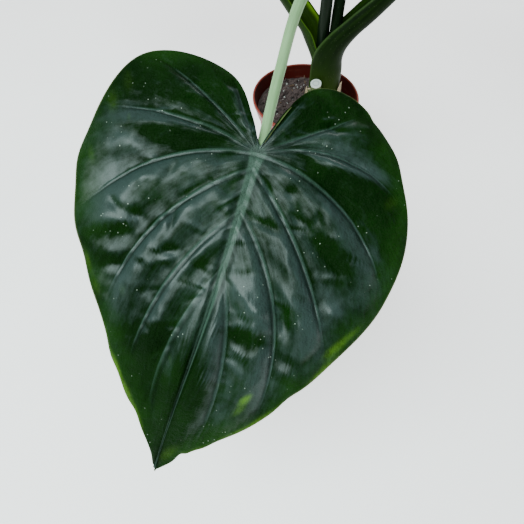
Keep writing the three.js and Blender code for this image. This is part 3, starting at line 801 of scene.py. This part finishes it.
# Each stalk: the direction that its back leans to, in degrees, and its stations.
STALKS = {
    "stalk_1": (270, [
        rod((12, 0, FOOT_LEVEL), 5.8, 1), rod((12, 0.5, 130), 5.8, 1),
        rod((11.4, 3, 182), 5.9, 0.7), rod((9, -10, 224), 5.4), rod((3, -35, 254), 4.9),
        rod((-8, -72, 267), 4.5), rod((-25, -110, 257.5), 4.1), rod((-38, -165, 247), 3.6),
        rod((-51, -224, 231), 3.1),
    ]),
    "stalk_2": (0, [
        section((34.2, 0, FOOT_LEVEL), 16.2, (165, 165), 1.35),
        section((34, 0, 132), 16.2, (165, 155), 1.35),
        section((32.4, -0.5, 152), 15.6, (160, 115), 1.4),
        section((35.2, -1, 166), 15.8, (150, 100), 1.5),
        section((44.6, -1, 181), 15.5, (146, 98), 1.8, 0.55),
        section((60, 0, 197), 14.5, (134, 98), 2.3, 0.6, 0.8),
        section((90, 3, 231), 10, (105, 95), 3.4, 0.8, 0.3),
        section((122, 7, 265), 5, (90, 90), 4.4, 1.8, 0),
        rod((155, 12, 294), 4.4), rod((188, 17, 316), 3.8), rod((226, 22.8, 335.7), 3.2),
    ]),
    "stalk_3": (146, [
        section((7, 7.4, FOOT_LEVEL), 13.3, (150, 150), 1.2),
        section((7, 7.4, 136), 13.3, (150, 150), 1.2),
        section((5.2, 8.4, 150), 13.3, (112, 112), 1.3),
        section((-2.7, 13.9, 166), 13.2, (108, 108), 1.4),
        section((-9, 18.2, 177), 13, (115, 112), 1.6, 0.55),
        section((-20, 23, 188), 12.5, (112, 108), 2, 0.6, 0.8),
        section((-52, 42, 223), 9, (100, 100), 3.2, 0.8, 0.3),
        section((-88, 64, 261), 4.6, (90, 90), 4.3, 1.8, 0),
        rod((-122, 87, 292), 4.4), rod((-153, 107, 315), 3.8), rod((-190.5, 132, 335.5), 3.2),
    ]),
    "stalk_4": (70, [
        rod((24, 0, FOOT_LEVEL), 5.7, 1), rod((24, 0.5, 130), 5.7, 1),
        rod((23.5, 5, 190), 5.6, 0.7), rod((27, 15, 240), 5.1), rod((36, 38, 300), 4.5),
        rod((48, 72, 358), 3.9), rod((64.8, 120, 413.5), 3.2),
    ]),
    "old_foot": (243, [
        section((9.4, -16.9, FOOT_LEVEL), 18.9, (96, 96), 0.9, 0.45),
        section((9.4, -16.9, 108), 18.9, (94, 92), 0.9, 0.45),
        section((8.9, -17.9, 116), 15, (70, 70), 1.7, 0.6),
        section((8, -20, 122), 6, (88, 88), 3.8, 2.4, 0.8),
        rod((7.4, -21.4, 129), 5.6, 0.4), rod((6.6, -22.8, 137), 5.6, 0),
    ]),
}


# %% [markdown]
# The marks on a stalk say how far along it a point is, how near the edge of a wing, and whether it
# is on the inner face of the sheath, which is brighter because the sun never reached it.

# %% Lofting a stalk
STALK_GAP = 12
SHEATH_SIDE = 40
ROD_SIDE = 16


def stalk_ring(ring, across, inner):
    """One section's points, as millimetres outwards and sideways from its back."""
    radius, keel, wing = ring["radius"], ring["keel"], ring["wing"]
    turn = 1 - 2 * min(1, radius / (2 * keel))
    angle = np.radians(across * np.where(across < 0, ring["left"], ring["right"]))
    half = wing + (keel - wing) * np.cos(0.5 * np.pi * across) ** 2
    outwards = -radius + radius * np.cos(angle)
    sideways = radius * np.sin(angle)
    swap = np.where(inner, -1, 1)
    turned = np.where(inner, turn, 1)
    return outwards + swap * half * np.cos(angle), sideways + turned * half * np.sin(angle)


def add_stalk(name, around):
    """A loft through a stalk's stations, with `around` points on each side of a ring."""
    lean, stations = STALKS[name]
    last = len(stations) - 1
    rows = last * STALK_GAP
    piece, x, y = add_grid(name, 2 * around, rows)
    inner = x >= 0.5
    across = np.where(inner, 3 - 4 * x, 4 * x - 1)
    row = np.round(y * rows).astype(int)
    back = np.array([math.cos(math.radians(lean)), math.sin(math.radians(lean)), 0])

    def middle(place):
        return np.array([smooth([s["at"][k] for s in stations], place) for k in range(3)])

    at, edge = np.zeros((len(x), 3)), np.zeros(len(x))
    middles = [middle(n / STALK_GAP) for n in range(rows + 1)]
    for n in range(rows + 1):
        here, place = row == n, n / STALK_GAP
        ring = {k: straight([s[k] for s in stations], place) for k in stations[0] if k != "at"}
        ahead = middle(min(place + 0.05, last)) - middle(max(place - 0.05, 0))
        axis = ahead / np.linalg.norm(ahead) * (1 - ring["level"])
        axis += np.array([0, 0, 1]) * ring["level"]
        axis /= np.linalg.norm(axis)
        side = np.cross(axis, back)
        side /= np.linalg.norm(side)
        outwards, sideways = stalk_ring(ring, across[here], inner[here])
        at[here] = middles[n] + np.outer(outwards, np.cross(side, axis)) + np.outer(sideways, side)
        edge[here] = np.abs(across[here]) ** 3 * min(1, ring["radius"] / 6)
    move_points(piece, at * MM)

    steps = np.linalg.norm(np.diff(middles, axis=0), axis=1)
    along = np.concatenate([[0], np.cumsum(steps)])[row] * MM
    note(piece, "run", triples(across * MARK_WIDTH + inner * 50 * MM, along, 0))
    note(piece, "edge", edge)
    note(piece, "inner", inner * edge.clip(0.25, 1) * np.interp(row, [0, rows], [1, 0.4]))
    weld(piece)
    close_ends(piece)
    return piece


def trim_at_blade(piece, blade):
    """Cuts the stalk's end level with the blade that it holds."""
    zero = np.zeros(1)
    low = Vector(hang(blade, zero, zero, zero - 0.6 * BLADE_THICKNESS)[0])
    square = (Vector(hang(blade, zero, zero, zero + 1)[0]) - low).normalized()
    with editing(piece):
        bpy.ops.mesh.bisect(plane_co=low * MM, plane_no=square, use_fill=True, clear_outer=True)


# %% [markdown]
# ## Stalk materials
#
# A stalk is smooth and a little waxy, with faint streaks that run its whole length. The front one
# is pale, the others are darker, and each sheath has a thin papery margin and a brighter lining.
# Streaks that followed the room's own axes would cut across a bent stalk, so they follow the
# marks.

# %% Stalk materials
GREEN_FOOT = rgb(0.024, 0.046, 0.005)
SHADED_START = rgb(0.003, 0.009, 0.003)
PALE_FROM = 0.165


def stalk_finish(name, dark, light, lining, hem, shine):
    """A fleshy stalk: two greens, and the colours of its lining and of its margin."""
    skin = Finish(name)
    run = skin.read("run", "Vector")
    streaks = skin.noise(run, (900.0, 30.0, 1.0), 4.0, 0.6)
    broad = skin.noise(skin.place(), 38.0, 3.0)
    fine = skin.noise(skin.place(), 900.0, 2.0)
    color = skin.mix(dark, light, skin.step(streaks * 0.7 + broad * 0.4, 0.35, 0.75))
    color = skin.mix(color, lining, skin.step(skin.read("inner"), 0.15, 0.5))
    if name == "stalk_pale":
        shaded = skin.step(skin.axis(run, "Y"), PALE_FROM + 0.05, PALE_FROM)
        color = skin.mix(color, SHADED_START, shaded)
    low = skin.step(skin.axis(skin.place(), "Z") + (broad - 0.5) * 0.02, 0.165, 0.11)
    freckles = skin.step(skin.cells(skin.place(), 420.0), 0.16, 0.06)
    color = skin.paint(
        color,
        foot=(GREEN_FOOT, low * 0.8),
        hem=(hem, skin.step(skin.read("edge"), 0.75, 0.95) * 0.8),
        freckles=(rgb(0.42, 0.46, 0.32), freckles * 0.08),
    )
    rough = 0.42 + (streaks - 0.5) * 0.18 + fine * 0.06
    return skin.shade(color, rough, streaks * 0.7 + fine * 0.3, shine=shine)


STALK_FINISHES = {
    "stalk_1": stalk_finish(
        "stalk_pale", rgb(0.19, 0.34, 0.15), rgb(0.29, 0.47, 0.24), rgb(0.3, 0.45, 0.2),
        rgb(0.4, 0.5, 0.3), 0.12,
    ),
    "stalk_2": stalk_finish(
        "stalk_dark", rgb(0.002, 0.007, 0.001), rgb(0.006, 0.017, 0.002),
        rgb(0.014, 0.042, 0.003), rgb(0.03, 0.06, 0.015), 0.03,
    ),
    "stalk_3": stalk_finish(
        "stalk_bright", rgb(0.004, 0.013, 0.001), rgb(0.012, 0.032, 0.003),
        rgb(0.13, 0.27, 0.004), rgb(0.02, 0.05, 0.008), 0.05,
    ),
    "stalk_4": stalk_finish(
        "stalk_grey", rgb(0.002, 0.006, 0.002), rgb(0.005, 0.013, 0.005), rgb(0.02, 0.04, 0.01),
        rgb(0.05, 0.09, 0.03), 0.02,
    ),
}
for name, finish in STALK_FINISHES.items():
    sheathed = any(station["radius"] for station in STALKS[name][1])
    piece = add_stalk(name, SHEATH_SIDE if sheathed else ROD_SIDE)
    trim_at_blade(piece, BLADES[name.replace("stalk", "heart")])
    settle(piece, [name.replace("stalk", "leaf") + "_stalk"], [finish])

# %% [markdown]
# ## The old leaf's foot
#
# An older leaf was cut away at the front of the stem. Its foot still clasps the others: a dry
# sheath that has gone tan along its edges, and a short stub with a pale, moist cut face. The
# sheath is a loft like the others, and the cut face gets a material of its own, by its place.

# %% The old foot
STUB_UNDER, STUB_TOP = [Vector(station["at"]) * MM for station in STALKS["old_foot"][1][-2:]]


def dry_sheath():
    husk = Finish("dry_sheath")
    streaks = husk.noise(husk.read("run", "Vector"), (1100.0, 24.0, 1.0), 5.0, 0.65)
    broad = husk.noise(husk.place(), 70.0, 3.0)
    dry = husk.step(husk.read("edge") + (broad - 0.5) * 0.8, 0.35, 0.8)
    color = husk.paint(
        husk.mix(rgb(0.035, 0.060, 0.012), rgb(0.11, 0.14, 0.045), husk.step(streaks, 0.35, 0.7)),
        tan=(rgb(0.46, 0.35, 0.22), dry),
        brown=(rgb(0.10, 0.055, 0.028), husk.step(streaks * dry, 0.55, 0.75)),
    )
    return husk.shade(color, 0.62 + streaks * 0.2, streaks, 0.3 * MM)


def cut_face():
    """A moist, pale face with dots of fibre, and a grey ring where the rind begins."""
    cut = Finish("cut_face")
    fibres = cut.cells(cut.place(), 700.0)
    broad = cut.noise(cut.place(), 260.0, 3.0)
    centre = {0: cut.place(), 1: tuple(STUB_TOP)}
    away = cut.node("ShaderNodeVectorMath", {"operation": "DISTANCE"}, centre, output="Value")
    ring = cut.step(away, 2.2 * MM, 2.8 * MM) * cut.step(away, 4.0 * MM, 3.4 * MM)
    color = cut.paint(
        cut.mix(rgb(0.62, 0.66, 0.60), rgb(0.74, 0.77, 0.74), broad),
        fibres=(rgb(0.44, 0.48, 0.34), cut.step(fibres, 0.3, 0.05) * 0.5),
        ring=(rgb(0.36, 0.40, 0.40), ring * (0.4 + broad * 0.5)),
    )
    return cut.shade(color, 0.4 + broad * 0.15, fibres, 0.2 * MM)


stub_axis = (STUB_TOP - STUB_UNDER).normalized()
old_foot = add_stalk("old_foot", SHEATH_SIDE)
apply(old_foot, "BEVEL", width=0.8 * MM, segments=3, angle_limit=math.radians(60))
settle(old_foot, ["old_leaf_foot"], [dry_sheath(), cut_face()])
for face in old_foot.data.polygons:
    if (face.center - STUB_TOP).dot(stub_axis) > -1.2 * MM:
        face.material_index = 1

# %% [markdown]
# The sheath of that leaf has dried and torn. Two papery shreds of its margin still cling to the
# stem, one on each side. Each is a small sheet wrapped round the stem, with a ragged top.

# %% Dry shreds
STEM_AXIS = 18
SHRED_RADIUS = 18.7


def add_shred(name, turn, levels, seed):
    """A dry shred between two compass directions, in degrees, and two levels, in millimetres."""
    piece, x, y = add_grid(name, 24, 14)
    ragged = ripples(x, x * 0, seed, 0.15, 0.5)
    reach = (levels[1] - levels[0]) * np.sin(np.pi * x) ** 0.5 * (1 + 0.2 * ragged)
    angle = np.radians(turn[0] + (turn[1] - turn[0]) * x)
    radius = SHRED_RADIUS + y**2 + 0.25 * ragged
    ground = STEM_AXIS + radius * np.cos(angle), radius * np.sin(angle)
    move_points(piece, triples(*ground, levels[0] + reach * y) * MM)
    note(piece, "run", triples(x * MARK_WIDTH, y * MARK_WIDTH, 0))
    note(piece, "edge", np.full_like(x, 1.0))
    apply(piece, "SOLIDIFY", thickness=0.6 * MM, offset=0)
    settle(piece, [], [old_foot.data.materials[0]])


add_shred("dry_shred_right", (-58, -12), (100, 126), 41)
add_shred("dry_shred_left", (186, 214), (100, 118), 42)

# %% [markdown]
# ## The pot
#
# A nursery pot is moulded from thin plastic: a tapered wall, a step out to a taller collar, a
# rolled lip, and holes round the floor. It is turned about one axis, so it starts as a disc. The
# disc is extruded and scaled station by station, up the outside, over the lip and down the inside.

# %% Profile of the pot
RIM_RADIUS = 60
POT_HEIGHT = 105
BASE_RADIUS = 42
WALL = 1.5
FLOOR = 2
COLLAR_HEIGHT = 18
COLLAR_STEP = 2.4
COLLAR_FLARE = 2
TAPER = (RIM_RADIUS - COLLAR_STEP - COLLAR_FLARE - BASE_RADIUS) / POT_HEIGHT
DRAIN_HOLES = 6
DRAIN_RADIUS = 4.5
DRAIN_CIRCLE = 27
POT_SIDES = 128
STEP_LEVEL = POT_HEIGHT - COLLAR_HEIGHT


def outer_radius(level):
    return BASE_RADIUS + TAPER * level


COLLAR = outer_radius(STEP_LEVEL) + COLLAR_STEP
COLLAR_SLOPE = (RIM_RADIUS - COLLAR) / COLLAR_HEIGHT
# The lip, as how far in from the rim and how far down from the top each of its points lies.
LIP = [
    (0.6, 4), (0.1, 3.5), (0, 3), (0, 1), (0.3, 0.3), (0.9, 0), (1.7, 0), (2.2, 0.4), (2.4, 1.1),
]
POT_PROFILE = [
    (BASE_RADIUS - 1.2, 0), (BASE_RADIUS - 0.4, 0.3), (outer_radius(1), 1),
    (outer_radius(STEP_LEVEL - 1), STEP_LEVEL - 1), (COLLAR - 0.8, STEP_LEVEL - 0.3),
    (COLLAR - 0.2, STEP_LEVEL + 0.1), (COLLAR, STEP_LEVEL + 1),
    *((RIM_RADIUS - inset, POT_HEIGHT - drop) for inset, drop in LIP),
    (COLLAR - WALL, STEP_LEVEL + 2.2), (outer_radius(STEP_LEVEL) - WALL, STEP_LEVEL),
    (outer_radius(FLOOR + 1.5) - WALL, FLOOR + 1.5), (BASE_RADIUS - WALL - 1, FLOOR),
]


def turned(name, profile, sides):
    """A body turned about the upright axis, made by extruding a disc along its profile."""
    radius, level = profile[0]
    bpy.ops.object.select_all(action="DESELECT")
    bpy.ops.mesh.primitive_circle_add(
        vertices=sides, radius=radius * MM, fill_type="NGON", location=(0, 0, level * MM)
    )
    piece = named(name)
    bpy.ops.object.transform_apply(location=True, rotation=False, scale=False)
    with editing(piece):
        for wide, high in profile[1:]:
            up = {"value": (0, 0, (high - level) * MM)}
            bpy.ops.mesh.extrude_region_move(TRANSFORM_OT_translate=up)
            bpy.ops.transform.resize(
                value=(wide / radius, wide / radius, 1), center_override=(0, 0, high * MM)
            )
            radius, level = wide, high
    weld(piece)
    return piece


def drill_drains(pot):
    """Cuts the round holes in the floor."""
    for i in range(DRAIN_HOLES):
        turn = 2 * math.pi * (i + 0.5) / DRAIN_HOLES
        place = Vector((DRAIN_CIRCLE * math.cos(turn), DRAIN_CIRCLE * math.sin(turn), 1)) * MM
        bpy.ops.object.select_all(action="DESELECT")
        bpy.ops.mesh.primitive_cylinder_add(
            vertices=24, radius=DRAIN_RADIUS * MM, depth=4 * FLOOR * MM, location=place
        )
        cutter = named("drain_cutter")
        apply(pot, "BOOLEAN", object=cutter, operation="DIFFERENCE", solver="EXACT")
        bpy.data.objects.remove(cutter)


# %% [markdown]
# The plastic is a satin brick red. The outside is a warm, dull red, and the inside is painted much
# darker, a painted shade for the wall that stands in its own shade. The top of the lip gets a
# painted highlight. Fine scuffs, water marks and a dusting of soil near the rim keep it from
# looking new.

# %% Pot material
def pot_plastic():
    plastic = Finish("pot_plastic")
    place = plastic.place()
    broad = plastic.noise(place, 30.0, 3.0)
    grain = plastic.noise(place, 1400.0, 2.0)
    rings = plastic.noise(place, (2.0, 2.0, 500.0), 3.0, 0.6)
    scuffs = plastic.step(plastic.noise(place, (60.0, 60.0, 900.0), 4.0), 0.6, 0.75)
    x, y, z = (plastic.axis(place, name) for name in "XYZ")
    from_axis = plastic.node("ShaderNodeMath", {"operation": "SQRT"}, {0: x * x + y * y})
    lower_wall = z * TAPER + (BASE_RADIUS - 0.7 * WALL) * MM
    collar_wall = (z - STEP_LEVEL * MM) * COLLAR_SLOPE + (COLLAR - 0.7 * WALL) * MM
    in_collar = plastic.step(z, (STEP_LEVEL - 0.5) * MM, (STEP_LEVEL + 0.5) * MM)
    beyond_wall = from_axis - lower_wall - (collar_wall - lower_wall) * in_collar
    inside = plastic.step(beyond_wall, 0.4 * MM, -0.4 * MM)
    lip = plastic.step(z, (POT_HEIGHT - 1.3) * MM, (POT_HEIGHT - 0.4) * MM)
    dirt = plastic.step(plastic.noise(place, 260.0, 5.0, 0.7), 0.56, 0.7) * inside
    color = plastic.paint(
        plastic.mix(rgb(0.16, 0.014, 0.007), rgb(0.22, 0.027, 0.014), broad),
        # painted shade: the inside wall is painted dark
        shaded=(rgb(0.030, 0.0015, 0.001), inside * 0.85 * (1 - lip)),
        # painted highlight: the top of the lip is painted a lighter red
        lip=(rgb(0.30, 0.055, 0.038), lip * 0.5),
        scuffs=(rgb(0.30, 0.10, 0.07), scuffs * 0.25),
        dirt=(rgb(0.03, 0.02, 0.015), dirt * 0.7),
    )
    rough = 0.38 + (rings - 0.5) * 0.2 + scuffs * 0.2 + dirt * 0.3
    return plastic.shade(color, rough, rings * 0.4 + grain * 0.25, 0.08 * MM, shine=0.25)


pot = turned("nursery_pot", POT_PROFILE, POT_SIDES)
drill_drains(pot)
settle(pot, ["pot"], [pot_plastic()], angle=30)

# %% [markdown]
# ## The soil
#
# Potting soil is peat with clods, slivers of bark and white perlite. The bed itself is a disc that
# is pushed up and down by a formula. The crumbs on it are modelled a few times, copied a few
# hundred times with a seeded draw, and joined: they are what makes the surface look loose.

# %% The bed of soil
SOIL_LEVEL = 91
EDGE_DIP = 1
BED_ROWS = 76
BED_SIDES = 220
GAP = 0.3
CLEAR = WALL + GAP
WAIST = outer_radius(STEP_LEVEL) - CLEAR
BRIM = outer_radius(STEP_LEVEL) + COLLAR_STEP - CLEAR


def soil_height(x, y):
    """The soil's level in millimetres: lumps, finer lumps, a dip at the wall, and a heap."""
    lumps = 1.1 * np.sin(0.41 * x + 1.3) * np.cos(0.37 * y) + 0.9 * np.sin(0.9 * x - 0.7 * y)
    fine = 0.9 * ripples(x, y, 21, 3, 8, 24) + 0.4 * ripples(x, y, 22, 1.6, 3.2, 24)
    wall = rise(np.hypot(x, y), BRIM - 5, BRIM)
    heaped = 1.2 * bell(np.hypot(x - STEM_AXIS, y) - STEM_AXIS, 5)
    return SOIL_LEVEL + (0.8 * lumps + 0.7 * fine) * (1 - 0.7 * wall) - EDGE_DIP * wall + heaped


def add_soil():
    """A polar grid: the lower rows climb the wall of the pot, and the rest run in to the middle."""
    wall_rows = [
        (0.001, FLOOR + GAP), (BASE_RADIUS - CLEAR - 1, FLOOR + GAP),
        (outer_radius(FLOOR + 3) - CLEAR, FLOOR + 3), (WAIST, STEP_LEVEL),
        (BRIM - 0.1, STEP_LEVEL + 2.5),
    ]
    rows = len(wall_rows) + BED_ROWS
    piece, x, y = add_grid("potting_soil", BED_SIDES, rows)
    row = np.round(y * rows).astype(int)
    radius = BRIM * (1 - (row - len(wall_rows)) / BED_ROWS)
    turn = 2 * np.pi * x
    level = soil_height(radius * np.cos(turn), radius * np.sin(turn))
    for n, (wide, high) in enumerate(wall_rows):
        radius[row == n], level[row == n] = wide, high
    move_points(piece, triples(radius * np.cos(turn), radius * np.sin(turn), level) * MM)
    weld(piece)
    return piece


# %% [markdown]
# The peat is a warm, dark brown, and damp in patches. The perlite is chalky white, and the bark is
# the colour of cork. All three read the piece's own place, so no two crumbs look the same.

# %% Soil materials
def crumb_finish(name, dark, light, rough, scale):
    crumb = Finish(name)
    place = crumb.place()
    broad = crumb.noise(place, scale, 4.0, 0.65)
    fine = crumb.noise(place, 1100.0, 4.0, 0.7)
    color = crumb.mix(dark, light, crumb.step(broad * 0.6 + fine * 0.5, 0.35, 0.8))
    return crumb.shade(color, rough + (fine - 0.5) * 0.2, fine, 0.5 * MM)


peat = crumb_finish("peat", rgb(0.016, 0.009, 0.009), rgb(0.115, 0.072, 0.068), 0.85, 160.0)
perlite = crumb_finish("perlite", rgb(0.16, 0.14, 0.13), rgb(0.50, 0.48, 0.47), 0.8, 300.0)
bark = crumb_finish("bark", rgb(0.07, 0.035, 0.02), rgb(0.24, 0.14, 0.085), 0.75, 240.0)
settle(add_soil(), ["soil"], [peat], angle=70)

# %% [markdown]
# A crumb is a small ball knocked out of shape. Each kind is made once; a copy is turned, scaled
# and sunk a third of its height into the bed at a drawn place, and all copies of a kind become one
# mesh.

# %% Crumbs on the soil
SINK = 0.3


def knocked_ball(name, draw, stretch):
    """One crumb: a ball of 80 faces, stretched and knocked out of shape."""
    bpy.ops.object.select_all(action="DESELECT")
    bpy.ops.mesh.primitive_ico_sphere_add(subdivisions=2, radius=MM)
    piece = named(name)
    at = points_of(piece)
    knocks = np.array([1 + draw.uniform(-0.24, 0.2) for _ in range(len(at))])
    move_points(piece, at * knocks[:, None] * np.array(stretch))
    return piece


def on_soil(draw):
    """A drawn place on the open soil, clear of the stem and the wall."""
    while True:
        x, y = draw.uniform(-BRIM, BRIM), draw.uniform(-BRIM, BRIM)
        if math.hypot(x, y) < BRIM - 3 and math.hypot(x - STEM_AXIS, y) > STEM_AXIS + 1.5:
            return x, y


def scatter(name, template, count, sizes, seed, finish):
    """Copies of one crumb over the soil, joined into one piece."""
    draw = random.Random(seed)
    copies = []
    for _ in range(count):
        x, y = on_soil(draw)
        size = draw.triangular(sizes[0], sizes[1], sizes[0])
        level = float(soil_height(np.array([x]), np.array([y]))[0]) + size * (0.5 - SINK)
        turn = Euler([draw.uniform(0, 2 * math.pi) for _ in range(3)]).to_matrix().to_4x4()
        move = Matrix.Translation(Vector((x, y, level)) * MM) @ turn @ Matrix.Scale(size, 4)
        copy = template.copy()
        copy.data = template.data.copy()
        copy.data.transform(move)
        bpy.context.scene.collection.objects.link(copy)
        copies.append(copy)
    alone(copies[0])
    for copy in copies:
        copy.select_set(True)
    bpy.ops.object.join()
    bpy.data.objects.remove(template)
    settle(named(name), [], [finish], angle=35)


crumb_draw = random.Random(31)
CRUMBS = [
    ("clods", (1, 0.8, 0.7), 420, (0.8, 3.2), 32, peat),
    ("perlite_grains", (1, 0.85, 0.8), 90, (0.5, 1.9), 33, perlite),
    ("bark_slivers", (2.2, 0.5, 0.3), 46, (0.8, 2.2), 34, bark),
]
for name, stretch, count, sizes, seed, finish in CRUMBS:
    scatter(name, knocked_ball("crumb", crumb_draw, stretch), count, sizes, seed, finish)

# %% [markdown]
# ## The corm
#
# Under the soil the leaves grow from a corm. Nobody sees it, and its CAD solid already has its
# shape, so it only gets a brown, fibrous skin.

# %% Corm material
def corm_skin():
    skin = Finish("corm_skin")
    fibres = skin.noise(skin.place(), (90.0, 90.0, 900.0), 4.0, 0.6)
    color = skin.mix(rgb(0.07, 0.035, 0.015), rgb(0.24, 0.15, 0.08), fibres)
    return skin.shade(color, 0.7 + fibres * 0.2, fibres, 0.4 * MM)


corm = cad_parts["corm"]
corm.data.materials.clear()
corm.data.materials.append(corm_skin())
print("corm: CAD solid kept")

# %% [markdown]
# ## Light and floor
#
# The plant stands on a plain, pale floor, under soft light from above: the blade's upper half
# mirrors a wide, bright sheet, and its folds don't. One wide lamp over the leaf does that,
# together with the painted sheen on the blade. A weaker one behind lights the stalks, and a pale
# sky all round fills the shadows.

# %% Light and floor
def add_lamp(name, at, toward, size, power, color):
    """A rectangular sheet of light, `size` wide and high, that faces a point."""
    data = bpy.data.lights.new(name, "AREA")
    data.shape = "RECTANGLE"
    data.size, data.size_y = size
    data.energy = power
    data.color = color
    lamp = bpy.data.objects.new(name, data)
    lamp.location = at
    lamp.rotation_euler = (Vector(toward) - Vector(at)).to_track_quat("-Z", "Y").to_euler()
    bpy.context.scene.collection.objects.link(lamp)


LEAF_MIDDLE = (-0.06, -0.28, 0.2)
add_lamp("overhead", (-0.63, -0.79, 1.31), LEAF_MIDDLE, (1.5, 1.0), 42, (0.80, 0.97, 0.94))
add_lamp("behind", (0.6, 1.5, 1.3), (0, 0.1, 0.0), (1.0, 1.0), 16, (1.0, 0.98, 0.95))

world = bpy.data.worlds.new("studio")
world.use_nodes = True
world.node_tree.nodes["Background"].inputs["Color"].default_value = rgb(0.93, 0.96, 1.0)
world.node_tree.nodes["Background"].inputs["Strength"].default_value = 0.32
bpy.context.scene.world = world


def pale_floor():
    floor_finish = Finish("pale_floor")
    grain = floor_finish.noise(floor_finish.place(), 14.0, 3.0)
    color = floor_finish.mix(rgb(0.86, 0.86, 0.86), rgb(0.89, 0.89, 0.89), grain)
    glow = {"Emission Color": rgb(1, 1, 1), "Emission Strength": 1.1}
    return floor_finish.shade(color, 0.7 + (grain - 0.5) * 0.05, **glow)


bpy.ops.object.select_all(action="DESELECT")
bpy.ops.mesh.primitive_plane_add(size=8)
floor = named("floor")
floor.data.materials.append(pale_floor())
